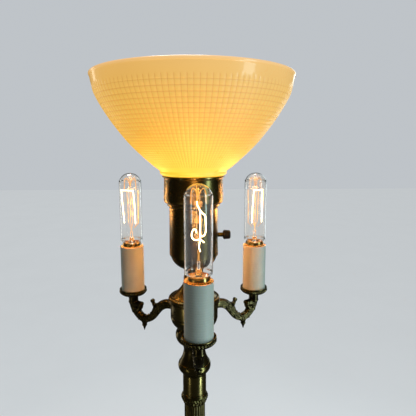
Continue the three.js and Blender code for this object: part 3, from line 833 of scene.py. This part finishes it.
def alongAxis(section, sides, matrix, name, body, slot, nodes, shape=None, **easing):
    # a turned piece whose axis lies along +X before the matrix places it
    onAxis = section[0][0] == 0 and section[-1][0] == 0
    line = curved(section, closed=not onAxis, **easing)
    lay = matrix @ Matrix.Rotation(tau / 4, 4, "Y")
    return place(name, meshFrom(name, spun(line, sides, shape), lay), body, materials[slot], nodes)


def standOff(x, y, z, turn):
    return Matrix.Translation((x * mm, y * mm, z * mm)) @ Matrix.Rotation(turn, 4, "Z")


bushing = [
    (2.7, -6, 1), (4.3, -6, 1), (4.3, 1.4, 1), (5.3, 1.6), (5.4, 2.4), (5.0, 3.4), (4.2, 3.9), (3.2, 4),
    (2.7, 3.2)]
alongAxis(bushing, 64, standOff(0, 112, inletHeight, tau / 4), "cord_bushing_fine", "lamp", "black_phenolic",
          ["cord_bushing"])

knob = {
    "ribs": 16, "ribDepth": 0.55, "length": 10.4, "width": 12.5,
    "barrel": [
        (0.0, 10.4), (2.4, 10.4), (4.4, 10.1), (5.4, 9.3), (5.8, 8.0, 1), (6.05, 4.8), (6.25, 2.2, 1),
        (6.0, 1.4), (4.9, 0.7), (3.8, 0.05, 1), (3.2, 0.05, 1), (3.2, 0.9, 1), (0.0, 0.9)],
    "shaft": [(0.0, 0.0), (2.6, 0.0, 1), (2.85, 0.3), (2.85, 20.0), (2.6, 20.3, 1), (0.0, 20.3)],
}


def makeKnob(label, matrix, width, length):
    size, stretch = width / knob["width"], length / knob["length"]

    def ribbed(r, z, angle, row, k):
        if r > 5.6 * size and 2.6 * stretch < z < 7.6 * stretch:
            return r - knob["ribDepth"] * (0.5 - 0.5 * math.cos(knob["ribs"] * angle))
        return r

    barrel = [(r * size, z * stretch, *edge) for r, z, *edge in knob["barrel"]]
    alongAxis(barrel, 192, matrix, label + "_knob_fine", label, "black_phenolic", [label + "_knob"], ribbed,
              step=0.4)


def makeShaft(label, matrix, length):
    section = [(r, z * length / 20.3, *edge) for r, z, *edge in knob["shaft"]]
    alongAxis(section, 40, matrix, label + "_shaft_fine", label, "antique_brass",
              [label + "_shaft"])


# axis 0 is X and 1 is Y; the fine shaft stops short of the plain one by the last number
for label, height, axis, short in (("main_switch", knobHeight, 0, 9), ("candle_switch", switchHeight, 1, 7)):
    root = [0, 0]
    low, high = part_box(label + "_knob")
    root[axis] = low[axis] / mm
    makeKnob(label, standOff(*root, height, axis * tau / 4), (high.z - low.z) / mm,
             (high[axis] - low[axis]) / mm)
    low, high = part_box(label + "_shaft")
    root[axis] = low[axis] / mm
    makeShaft(label, standOff(*root, height, axis * tau / 4), (high[axis] - low[axis]) / mm - short)
print("base and switches made")

# scroll arms: u runs out from the lamp's axis, v is up from the arm's root

arm = {
    # u, v, half height across the limb, half width
    "limb": [
        (33.2, 0, 6.4, 5.2), (40, 0.6, 6.9, 5.2), (48, -1.0, 6.9, 5.0), (55.6, -5.6, 6.6, 4.9),
        (61.4, -12.2, 6.2, 4.8), (66.2, -19.4, 5.5, 4.9), (71.8, -25.4, 5.2, 5.0),
        (79.4, -29.6, 5.2, 5.2), (87.6, -29.4, 5.8, 5.2), (94.6, -25.2, 6.1, 5.2),
        (100.4, -18.6, 6.3, 5.3), (104.0, -11.0, 6.4, 5.8), (104.4, -5.0, 6.9, 6.8),
        (104.4, 1.8, 7.1, 7.1)],
    "spur": [
        (58.5, -6.0, 4.6, 4.4), (62.5, -6.6, 4.6, 4.0), (65.6, -6.2, 3.6, 3.7), (67.6, -4.2, 2.5, 3.3),
        (68.8, -1.8, 2.0, 3.0), (69.8, 0.2, 1.9, 2.9)],
    "heel": [
        (63.0, -6.0, 3.2, 3.6), (65.2, -9.4, 3.2, 3.7), (66.6, -13.4, 3.0, 3.8), (69.0, -17.4, 3.0, 3.8)],
    "bump": [
        (102.0, -10.4, 5.6, 5.4), (97.6, -10.2, 5.2, 5.3), (94.2, -9.8, 4.6, 5.0), (91.4, -9.6, 4.2, 4.6),
        (89.4, -9.6, 3.6, 4.0), (88.0, -9.7, 2.4, 2.9), (87.2, -9.8, 1.0, 1.4)],
    "cheek": [
        (98.0, -20.4, 4.6, 4.9), (94.8, -17.2, 4.2, 4.7), (92.2, -14.4, 3.6, 4.4),
        (90.6, -12.0, 3.0, 4.0)],
    "tip": [
        (84.4, -31.0, 7.4, 4.8), (84.8, -34.6, 5.6, 4.4), (85.0, -37.0, 4.0, 3.6),
        (85.1, -38.4, 3.2, 3.2), (85.1, -39.6, 3.9, 3.9), (85.2, -41.0, 3.6, 3.6),
        (85.2, -42.6, 2.4, 2.4), (85.3, -45.4, 1.4, 1.4), (85.3, -48.8, 0.35, 0.35)],
    "eyes": [
        (69.6, 0.2, 2.7, 3.0), (91.6, -9.8, 3.4, 5.1)],  # u, v, radius and half width of each scroll's eye
    # small leaf edges on the inner side, as shares of the limb's length
    "crockets": [0.36, 0.44, 0.52, 0.6, 0.68],
    "veins": [-0.62, -0.2, 0.24, 0.64],  # raised lines along each side, as shares of the half height
    "leafStep": 6.0, "leafLength": 8.4,
    "beadRing": {"u": 34.6, "radius": 6.9},
}


def inPlane(points, step):
    return [(u, 0.0, v, a, b) for u, v, a, b in through(points, step)]


def leafLobe(centre, along, across, side, length):
    # one almond-shaped acanthus lobe lying on the limb's side
    steps = 7
    path = []
    for i in range(steps):
        t = i / (steps - 1)
        swell = math.sin(math.pi * min(0.97, 0.06 + 0.92 * t))
        p = centre + along * (length * (t - 0.4)) + across * (1.3 * math.sin(t * math.pi * 0.8))
        path.append((p.x, p.y, p.z, 2.0 * swell + 0.12, 1.45 * swell + 0.1))
    return swept(path, 8, (0, side, 0))


def armShape():
    limb = inPlane(arm["limb"], 1.4)
    shapes = [swept(limb, 20)] + [swept(inPlane(arm[limbPart], 0.8), 16) for limbPart in
                                  ("spur", "heel", "bump", "cheek", "tip")]
    centres = [Vector(p[:3]) for p in limb]
    tangents = [(centres[min(i + 1, len(centres) - 1)] - centres[max(i - 1, 0)]).normalized()
                for i in range(len(centres))]
    for side in (-1, 1):
        for share in arm["veins"]:
            line = []
            for i, p in enumerate(limb[2:-9], 2):
                normal = Vector((0, 1, 0)).cross(tangents[i])
                edge = math.sqrt(max(0.0, 1 - share ** 2))
                spot = centres[i] + normal * (share * p[3]) + Vector((0, side * p[4] * edge * 0.97, 0))
                fade = math.sin(math.pi * min(1, max(0, (i - 1) / (len(limb) - 11)))) ** 0.4
                line.append((*spot, 0.25 + 0.62 * fade, 0.25 + 0.62 * fade))
            shapes.append(swept(line, 8, (0, side, 0)))
        travelled, nextLeaf, flip = 0.0, 5.0, 1
        for i in range(3, len(centres) - 10):
            travelled += (centres[i] - centres[i - 1]).length
            if travelled < nextLeaf:
                continue
            nextLeaf += arm["leafStep"]
            normal = Vector((0, 1, 0)).cross(tangents[i])
            out = tangents[i] * 0.75 + normal * (0.66 * flip)
            spot = centres[i] + normal * (flip * limb[i][3] * 0.42) + Vector((0, side * limb[i][4] * 0.86, 0))
            shapes.append(leafLobe(spot, out.normalized(), normal * -flip, side, arm["leafLength"]))
            flip = -flip
    for u, v, radius, reach in arm["eyes"]:
        boss = [(u, side * reach * out, v, radius * roundness, radius * roundness) for side, out, roundness in
                ((-1, 1, 0.4), (-1, 0.92, 0.8), (-1, 0.7, 1.0), (1, 0.7, 1.0), (1, 0.92, 0.8), (1, 1, 0.4))]
        shapes.append(swept(boss, 16, (1, 0, 0)))
    for share in arm["crockets"]:
        i = round(share * (len(centres) - 1))
        normal = tangents[i].cross(Vector((0, 1, 0)))
        root = centres[i] + normal * (limb[i][3] * 0.85)
        tip = root + normal * 2.4 - tangents[i] * 1.2
        shapes.append(swept([(*root, 1.9, 2.8), (*(root + tip) / 2, 1.3, 2.0), (*tip, 0.45, 0.9)], 10))
    ring = arm["beadRing"]
    shapes.append(swept([(ring["u"] - 1.6, 0, 0, ring["radius"] - 0.8, ring["radius"] - 0.8),
                         (ring["u"] - 1.2, 0, 0, ring["radius"], ring["radius"]),
                         (ring["u"] + 0.4, 0, 0, ring["radius"], ring["radius"]),
                         (ring["u"] + 1.0, 0, 0, ring["radius"] - 0.9, ring["radius"] - 0.9)], 28))
    shapes.append(swept([(27, 0, 0, 4.7, 4.7), (36, 0, 0, 4.7, 4.7)], 28))
    neck = [
        (6.6, -9.4), (7.2, -8.4), (7.5, -7.6), (7.5, -6.4), (7.0, -5.6), (7.0, 0.2), (7.4, 0.8),
        (7.4, 1.9)]
    shapes.append(spun([(0, -9.4), *neck, (0, 1.9)], 40, centre=(armReach, 0)))
    shapes.append(spun([(0, 1.0), (4.7, 1.0), (4.7, 12.8), (0, 12.8)], 32, centre=(armReach, 0)))
    return merged(shapes)


armMesh = fused(armShape(), 0.42, 1)
armMesh.transform(Matrix.Translation((0, 0, armHeight * mm)))
for side, turn in armTurns.items():
    mesh = armMesh.copy()
    mesh.transform(Matrix.Rotation(turn, 4, "Z"))
    place(side + "_arm_fine", mesh, "lamp", materials["cast_brass"], [side + "_arm"])
print("arms made,", len(armMesh.vertices), "points each")

candle = {
    "cup": [
        (5.2, 1192.4, 1), (8.4, 1192.4, 1), (9.4, 1193.2), (10.6, 1193.8, 1), (12.6, 1194.0),
        (15.6, 1195), (17.8, 1196.4), (18.9, 1197.6, 1), (19.0, 1198.1, 1), (20.1, 1198.8),
        (20.2, 1199.9), (20.1, 1201), (19.1, 1201.6, 1), (19.3, 1202.2), (19.8, 1202.8), (19.8, 1203.4),
        (19.4, 1203.8, 1), (18.6, 1203.8, 1), (17.9, 1203.2), (17.8, 1198.7, 1), (5.2, 1198.7, 1)],
    "beads": 32, "beadDepth": 0.9, "beadSlant": 0.45, "beadFoot": 1198.2, "beadTop": 1201.6,
    "cover": {"out": coverRadius, "bore": 15.4, "pitch": 2.9, "grooveDepth": 0.06},
    "socket": [
        (0, 1204), (5.2, 1204, 1), (5.2, 1199.1, 1), (8, 1199.1, 1), (8, 1211), (14.6, 1215, 1),
        (15, 1216), (15, 1262, 1), (14.45, 1262, 1), (14.45, 1237.5, 1), (0, 1237.5)],
    "shell": [
        (9, 1238, 1), (14.1, 1238, 1), (14.1, 1265, 1), (13.7, 1265, 1), (13.7, 1238.6, 1),
        (9, 1238.6, 1)],
    "glass": [
        (0, 1375), (4, 1374.4), (7.8, 1373), (11, 1370.6), (13.5, 1367.2), (15.1, 1362.8), (15.6, 1357.6),
        (15.6, 1283), (15.4, 1279.4), (14.6, 1276.6), (13.2, 1275), (12.2, 1274.2), (12, 1273),
        (12, 1263.6, 1), (11.5, 1263.6, 1), (11.5, 1273.2), (11.8, 1274.6), (12.9, 1275.5),
        (14.1, 1276.9), (14.9, 1279.6), (15.1, 1283), (15.1, 1357.6), (14.6, 1362.6), (13.1, 1366.9),
        (10.7, 1370.2), (7.6, 1372.5), (3.9, 1373.9), (0, 1374.5)],
    "base": [
        (5.4, 1251.6, 1), (9, 1252), (12.2, 1254.2), (12.6, 1255.4), (12.6, 1266.4), (12.4, 1267.6, 1),
        (12.9, 1268.6), (12.95, 1271.6), (13.0, 1272.8, 1), (12.4, 1273.4, 1), (12.3, 1272.8),
        (12.2, 1256), (5.4, 1252.6, 1)],
    "thread": {"pitch": 3.629, "depth": 0.4, "low": 1255.4, "high": 1267.4, "core": 12.5, "runOut": 1.5},
    "contact": [
        (0, 1247.4), (2.6, 1247.4), (3.2, 1247.9), (3.4, 1249, 1), (4.2, 1249.6), (5, 1250.8, 1),
        (5, 1254.9, 1), (0, 1254.9)],
    "seal": {"height": 1271.4, "radius": 11.2, "rings": 4},
    "stem": [
        (0, 1273), (5.6, 1273, 1), (5.2, 1273.8), (3.6, 1276), (2.6, 1279), (1.9, 1283), (1.6, 1287),
        (2.1, 1288.6), (1.8, 1290), (0, 1290.8)],
    "hotTop": 1350.4, "hotFoot": 1303, "hotWire": 0.6, "coolWire": 0.36,
    # across and away from the middle at the top, across at the foot, for each strand of a cage
    "hotStrands": {"left": [(-12.2, -2, -9.4), (5.2, -9, 7.4)], "right": [(-3.9, -10, -5.9), (9.4, -5, 8.9)]},
    "coolStrands": {
        "left": [(-6.4, 8, -5.0), (-1.8, 10, -2.4), (0.8, 9, 1.2), (9.8, 5, 9.2), (12.0, -1, 10.4)],
        "right": [
                        (-10.6, 2, -9.8), (-0.6, 10, -0.8), (2.2, 9, 1.2), (5.8, 8, 4.4), (12.0, 2, 10.6)]},
    "hooks": 6,
}


def threaded(thread):
    def helix(r, z, angle, row, k):
        low, high = thread["low"], thread["high"]
        if low < z < high and r > thread["core"]:
            fade = min(1, (z - low) / thread["runOut"], (high - z) / thread["runOut"])
            return r + thread["depth"] * fade * math.sin(tau * z / thread["pitch"] - angle)
        return r
    return helix


def beadedCup(r, z, angle, row, k):
    if r > 18.9 and candle["beadFoot"] < z < candle["beadTop"]:
        turn = candle["beads"] * angle + candle["beadSlant"] * tau * (z - candle["beadFoot"]) / 4
        return r - candle["beadDepth"] * (0.5 - 0.5 * math.cos(turn))
    return r


def glowingWires(name, runs, body, node):
    # wires with a glow value per point: white-hot on the filament, a painted dull glow of filament light on
    # the supports and leads; runs are (points, wire radius, glow)
    shapes, glowValues = [], []
    for points, radius, glowLevel in runs:
        shape = swept([(*p, radius, radius) for p in points], 8, (0.3, 1, 0.2))
        shapes.append(shape)
        glowValues += [glowLevel] * len(shape[0])
    mesh = meshFrom(name, merged(shapes))
    mark = mesh.attributes.new("wireGlow", "FLOAT", "POINT")
    mark.data.foreach_set("value", glowValues)
    return place(name, mesh, body, materials["glowing_filament"], [node])


def smooth3d(points, step):
    return [p[:3] for p in through([tuple(p) for p in points], step)]


def supports(x, y, top):
    # the cap's floor under the stem and the wire hooks that hold its top under the dome, with the filament's
    # light on them painted in as a dull glow
    floor = candle["seal"]
    # painted light: the floor disc and its ripples glow dull orange with the filament's light
    runs = [([(x, y, floor["height"] - 0.5), (x, y, floor["height"] + 0.1)], floor["radius"], 0.38)]
    for k in range(floor["rings"]):
        radius = floor["radius"] * (1 - 0.22 * k)
        ripple = [(x + radius * math.cos(tau * i / 40), y + radius * math.sin(tau * i / 40),
                   floor["height"] + 0.25 * math.cos(3 * tau * i / 40 + k)) for i in range(41)]
        runs.append((ripple, 0.35, 0.42 - 0.03 * k))
    # painted glow: the leads shine with the filament's light
    for lead in (-1.6, 1.6):
        runs.append((smooth3d([(x + lead, y, 1274), (x + lead * 1.9, y, 1279), (x + lead * 0.8, y, 1284),
                               (x + lead * 0.3, y, 1295), (x + lead * 0.6, y, 1302)], 1.5), 0.26, 0.60))
    for k in range(candle["hooks"]):
        a = tau * (k + 0.3) / candle["hooks"]
        bend = [(0, top + 6), (3.2, top + 14), (6.6, top + 17.4), (8.8, top + 13), (9.6, top + 1)]
        path = [(x + r * math.cos(a + r * 0.03), y + r * math.sin(a + r * 0.03), z) for r, z in bend]
        runs.append((smooth3d(path, 1.2), 0.26, 0.5))
    return runs


def squirrelCage(side, x, y):
    # one wire up and down round a cage; the strands nearest the leads glow hottest
    top, foot = candle["hotTop"], candle["hotFoot"]
    runs = supports(x, y, top)
    (a, b, c), (d, e, f) = candle["hotStrands"][side]
    hot = [(c, b, foot), ((a + c) / 2 - 0.3, b, (top + foot) / 2), (a, b, top - 1.2), (a + 0.8, b, top),
           (d - 0.8, e, top), (d, e, top - 1.2), ((d + f) / 2 + 0.4, e, (top + foot) / 2), (f, e, foot)]
    runs.append((smooth3d([(x + u, y + v, z) for u, v, z in hot], 1.5), candle["hotWire"], 1.0))
    for a, b, c in candle["coolStrands"][side]:
        path = [(x + c, y + 0.9 * b, foot - 1.5), (x + (a + c) / 2 + 0.3, y + b, (top + foot) / 2),
                (x + a, y + b, top - 0.5)]
        runs.append((smooth3d(path, 3), candle["coolWire"], 0.62))
        # painted glow: the short leads below the cage shine with the filament's light
        runs.append((smooth3d([(x + 0.4 * c, y + 0.4 * b, foot - 8), path[0]], 2), 0.22, 0.45))
    return runs


def saggedHairpin(x, y):
    # a long filament seen edge on, sagged into loops between its supports
    upright = [
        (-1.6, 0, 1356), (-1.2, 0, 1352), (0.6, -0.4, 1348.4), (1.8, -0.6, 1344), (1.9, -0.6, 1335),
        (1.9, -0.6, 1325), (1.6, -0.6, 1315), (0.9, -0.3, 1309.5), (0.5, 0, 1305.5), (2.0, 0, 1301)]
    rightLoop = [
        (1.2, 0, 1347), (4.4, 0.8, 1343), (7.2, 1.4, 1340), (7.6, 1.6, 1334), (7.9, 1.4, 1326),
        (7.3, 1.0, 1321), (5.4, 0.6, 1318.2), (3.2, 0, 1318), (1.8, -0.6, 1320)]
    leftLoop = [
        (6.0, 1.0, 1310.8), (3.6, 0.4, 1313.2), (0.8, 0, 1314.6), (-2.4, -0.4, 1313.8),
        (-5.6, -0.4, 1315), (-7.4, 0, 1318), (-6.9, 0.8, 1322.6), (-5.0, 1.2, 1325.4),
        (-2.9, 1.0, 1324.8), (-2.2, 0.6, 1321.6)]
    runs = [(smooth3d([(x + a, y + b, z) for a, b, z in run], 1.0), 0.62, 1.0) for run in
            (upright, rightLoop, leftLoop)]
    # painted glow: the support wire up to the dome shines with the filament's light
    runs.append(([(x - 1.6, y + 0.6, 1356), (x - 1.9, y + 0.8, 1373)], 0.32, 0.6))
    return runs + supports(x, y + 3, candle["hotTop"] + 2)


def makeCandleLight(side):
    x, y = centre = candleSpots[side]
    at = {"centre": centre}
    bulbBody, liftBody = side + "_bulb", side + "_bulb_lift"
    turnedPiece(side + "_candle_cup_fine", candle["cup"], "lamp", "cast_brass", around=320, shape=beadedCup,
                step=0.5, **at)
    tube = candle["cover"]
    rings = int((coverTop - coverBottom - 3) / tube["pitch"])
    outside = []
    for k in range(rings):
        z = coverBottom + 1.6 + k * tube["pitch"]
        outside += [(tube["out"], z), (tube["out"] - tube["grooveDepth"], z + 0.4), (tube["out"], z + 0.8)]
    section = [(tube["bore"], coverBottom + 0.05, 1), (tube["out"], coverBottom + 0.05, 1), *outside,
               (tube["out"], coverTop - 0.1, 1), (tube["bore"] + 0.1, coverTop - 0.1, 1)]
    turnedPiece(side + "_candle_cover_fine", section, "lamp", "ivory_cover", step=1.6, ease=0.4, **at)
    turnedPiece(side + "_candle_socket_fine", candle["socket"], "lamp", "black_phenolic", around=48, **at)
    turnedPiece(side + "_candle_socket_shell_fine", candle["shell"], "lamp", "plain_brass", around=64, **at)
    glass = turnedPiece(side + "_bulb_glass_fine", candle["glass"], bulbBody, "clear_glass", around=72,
                        step=1.2, **at)
    turnedPiece(side + "_bulb_base_fine", candle["base"], bulbBody, "plain_brass",
                shape=threaded(candle["thread"]), step=0.4, **at)
    turnedPiece(side + "_bulb_contact_fine", candle["contact"], liftBody, "black_phenolic", around=40, **at)
    stem = turnedPiece(side + "_bulb_stem", candle["stem"], bulbBody, "clear_glass",
                       nodes=[side + "_bulb_filament"], around=40, **at)
    runs = saggedHairpin(x, y) if side == "front" else squirrelCage(side, x, y)
    wires = glowingWires(side + "_bulb_wires", runs, bulbBody, side + "_bulb_filament")
    for lit in (glass, stem, wires):
        lit.visible_shadow = False


for side in candleSpots:
    makeCandleLight(side)
print("candle lights made")

mains = {
    "switchHole": 3.0,
    "coil": {"reach": 11, "height": 1414, "sag": 7, "radius": 1.1, "turns": 26, "wire": 0.3, "steps": 400},
    "thread": {"pitch": 6.35, "depth": 0.45, "low": 1317, "high": 1339, "core": 18.5, "runOut": 2},
    "mogul_socket": [
        (0, 1264.3), (5.4, 1264.3, 1), (5.4, 1249.9, 1), (9, 1249.9, 1), (9, 1262), (18, 1268.6),
        (26.6, 1275, 1), (27.4, 1276.4), (27.4, 1345.8), (26.6, 1346.9, 1), (22.4, 1346.9, 1),
        (21.5, 1346), (21.5, 1303, 1), (0, 1303)],
    "mogul_shell": [
        (13, 1303.5, 1), (21.1, 1303.5, 1), (21.1, 1345, 1), (20.5, 1345, 1), (20.5, 1304.2, 1),
        (13, 1304.2, 1)],
    "main_bulb_contact": [
        (0, 1305.5), (4.6, 1305.5, 1), (5.4, 1306.4), (10.6, 1308.4, 1), (12.4, 1310.4, 1),
        (12.6, 1316, 1), (0, 1316)],
    "main_bulb_base": [
        (13.2, 1311, 1), (16.4, 1311.2), (18.6, 1313.6), (19.0, 1316), (19.0, 1338), (18.8, 1340.6),
        (19.2, 1342.6), (18.8, 1344, 1), (15.3, 1345, 1), (15.3, 1344, 1), (18.0, 1342.2), (18.0, 1315),
        (13.2, 1312, 1)],
    "main_bulb_glass": [
        (0, 1473), (8, 1471.8), (15.6, 1468.2), (22, 1462.4), (26.6, 1455), (29.4, 1446), (29.9, 1436),
        (28.8, 1424), (26, 1411), (22.6, 1397.6), (19.2, 1384), (16.6, 1370), (15, 1358), (14.6, 1347),
        (14.6, 1324, 1), (13.9, 1324, 1), (13.9, 1347), (14.3, 1358.4), (15.9, 1370.2), (18.5, 1384.2),
        (21.9, 1397.8), (25.3, 1411.2), (28.1, 1424.2), (29.2, 1436), (28.7, 1445.6), (26, 1454.4),
        (21.4, 1461.8), (15.2, 1467.4), (7.8, 1471), (0, 1472.2)],
}


turnedPiece("mogul_socket_fine", mains["mogul_socket"], "lamp", "porcelain",
            holes=[((12, 0, knobHeight), (32, 0, knobHeight), mains["switchHole"])])
turnedPiece("mogul_shell_fine", mains["mogul_shell"], "lamp", "plain_brass")
turnedPiece("main_bulb_contact_fine", mains["main_bulb_contact"], "main_bulb_lift", "black_phenolic",
            around=64)
turnedPiece("main_bulb_base_fine", mains["main_bulb_base"], "main_bulb", "plain_brass",
            shape=threaded(mains["thread"]), step=0.6)
mainGlass = turnedPiece("main_bulb_glass_fine", mains["main_bulb_glass"], "main_bulb", "frosted_glass",
                        step=1.6)
mainGlass.visible_shadow = False
coil, turns = mains["coil"], []
for i in range(coil["steps"] + 1):
    t = i / coil["steps"]
    turns.append((coil["reach"] * math.sin(t * tau * 0.36 - 1.13),
                  coil["radius"] * math.cos(t * tau * coil["turns"]),
                  coil["height"] + coil["sag"] * math.cos(t * tau * 0.5 - 0.8)
                  + coil["radius"] * math.sin(t * tau * coil["turns"])))
# painted glow: the main bulb's leads shine with its filament's light
leads = [(smooth3d([(s * 2, 0, 1330), (s * 3, 0, 1370), (s * 9, 0, 1412)], 2), 0.5, 0.42) for s in (-1, 1)]
glowingWires("main_bulb_wires", [(turns, coil["wire"], 1.0), *leads], "main_bulb", "main_bulb_filament")
print("main light made")


def makeStage():
    floor = bpy.data.meshes.new("floor")
    reach = 12.0
    floor.from_pydata([(-reach, -reach, 0), (reach, -reach, 0), (reach, reach, 0), (-reach, reach, 0)], [],
                      [(0, 1, 2, 3)])
    plane = added("floor", floor)
    pale = finishMaterial("pale_floor", mouldedSkin,
                          {"Base": (0.80, 0.80, 0.80), "Shade": (0.76, 0.76, 0.76), "Scale": 2.0,
                           "Drift": 0.4, "Smooth": 0.7, "Dull": 0.8})
    floor.materials.append(pale)
    plane.visible_glossy = False  # the brass mirrors a dim room, as in a home at dusk
    plane.visible_diffuse = False
    world = bpy.data.worlds.new("studio")
    bpy.context.scene.world = world
    world.use_nodes = True
    tree = world.node_tree
    backdrop = tree.nodes["Background"]
    backdrop.inputs["Color"].default_value = (0.52, 0.55, 0.58, 1)
    daylight = node(tree, "ShaderNodeBackground", Color=(0.74, 0.94, 1.0, 1), Strength=0.10)
    dimRoom = node(tree, "ShaderNodeBackground", Color=(1.0, 0.97, 0.80, 1), Strength=0.028)
    rays = tree.nodes.new("ShaderNodeLightPath")
    unmirrored = mathNode(tree, "LESS_THAN", rays.outputs["Glossy Depth"], 0.5)
    straight = mathNode(tree, "MAXIMUM", rays.outputs["Is Camera Ray"],
                        mathNode(tree, "MULTIPLY", rays.outputs["Is Transmission Ray"], unmirrored))
    softened = tree.nodes.new("ShaderNodeMixShader")
    shown = tree.nodes.new("ShaderNodeMixShader")
    feed(rays.outputs["Is Glossy Ray"], softened.inputs[0])
    feed(daylight.outputs[0], softened.inputs[1])
    feed(dimRoom.outputs[0], softened.inputs[2])
    feed(straight, shown.inputs[0])
    feed(softened.outputs[0], shown.inputs[1])
    feed(backdrop.outputs[0], shown.inputs[2])
    feed(shown.outputs[0], tree.nodes["World Output"].inputs["Surface"])


def light(name, kind, power, colour, spot=(0, 0, 0), aim=None):
    data = bpy.data.lights.new(name, kind)
    data.energy = power
    data.color = colour
    lamp = added(name, data)
    lamp.location = spot
    if aim is not None:
        lamp.rotation_euler = aim.to_track_quat("-Z", "Y").to_euler()
    return lamp


def areaLight(name, spot, target, size, power, colour):
    data = light(name, "AREA", power, colour, spot, Vector(target) - Vector(spot)).data
    data.shape = "RECTANGLE"
    data.size, data.size_y = size


def bulbLight(name, spot, body, power, radius, colour):
    lamp = light(name, "POINT", power, colour, spot)
    lamp.data.shadow_soft_size = radius
    lamp.visible_camera = False
    lamp.visible_transmission = False
    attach(lamp, body)


def sunLight(name, direction, power, spreadAngle, colour):
    light(name, "SUN", power, colour, aim=Vector(direction)).data.angle = math.radians(spreadAngle)


makeStage()
lampTop = (0, 0, 1.3)
areaLight("window", (1.27, -0.80, 1.60), lampTop, (0.36, 1.2), 7.2, (0.68, 0.97, 1.0))
areaLight("behind_right", (0.9, 1.5, 1.5), lampTop, (0.25, 1.4), 3.0, (0.80, 0.96, 1.0))
areaLight("behind_left", (-1.3, 1.1, 1.2), lampTop, (0.25, 1.6), 2.5, (1.0, 0.90, 0.74))
areaLight("column_gleam", (1.15, -0.62, 0.40), (0, 0, 0.5), (0.26, 0.9), 5, (0.74, 0.96, 1.0))
areaLight("column_gleam_left", (-1.1, -0.9, 0.5), (0, 0, 0.5), (0.2, 0.8), 0.8, (1.0, 0.93, 0.7))
sunLight("overhead", (0.10, -0.42, -1.0), 2.3, 24, (0.94, 0.97, 1.0))
bulbHeights = (1.312, 1.330, 1.348)  # three lights a bulb, as its filament is long
warm = (1.0, 0.40, 0.08)
for side, (x, y) in candleSpots.items():
    for k, height in enumerate(bulbHeights):
        bulbLight(f"{side}_glow_{k}", (x * mm, y * mm, height), side + "_bulb", 0.2, 0.005, warm)
bulbLight("main_glow", (0, 0, 1.44), "main_bulb", 0.26, 0.03, (1.0, 0.62, 0.25))

view = {"turn": -0.4, "distance": 528.4, "below rim": 83.3, "pitch": 9.10, "yaw": 2.465, "lens": 34.94}


def makeCamera():
    data = bpy.data.cameras.new("camera")
    data.lens = view["lens"]
    data.sensor_width = 36
    data.clip_start, data.clip_end = 0.02, 60
    camera = added("camera", data)
    turn = math.radians(view["turn"])
    camera.location = (view["distance"] * mm * math.sin(turn), -view["distance"] * mm * math.cos(turn),
                       (rimHeight - view["below rim"]) * mm)
    camera.rotation_euler = (math.radians(90 - view["pitch"]), 0, -math.radians(view["yaw"]))
    bpy.context.scene.camera = camera


makeCamera()
bpy.context.scene.view_settings.view_transform = "Standard"
print("stage, lights and camera set")
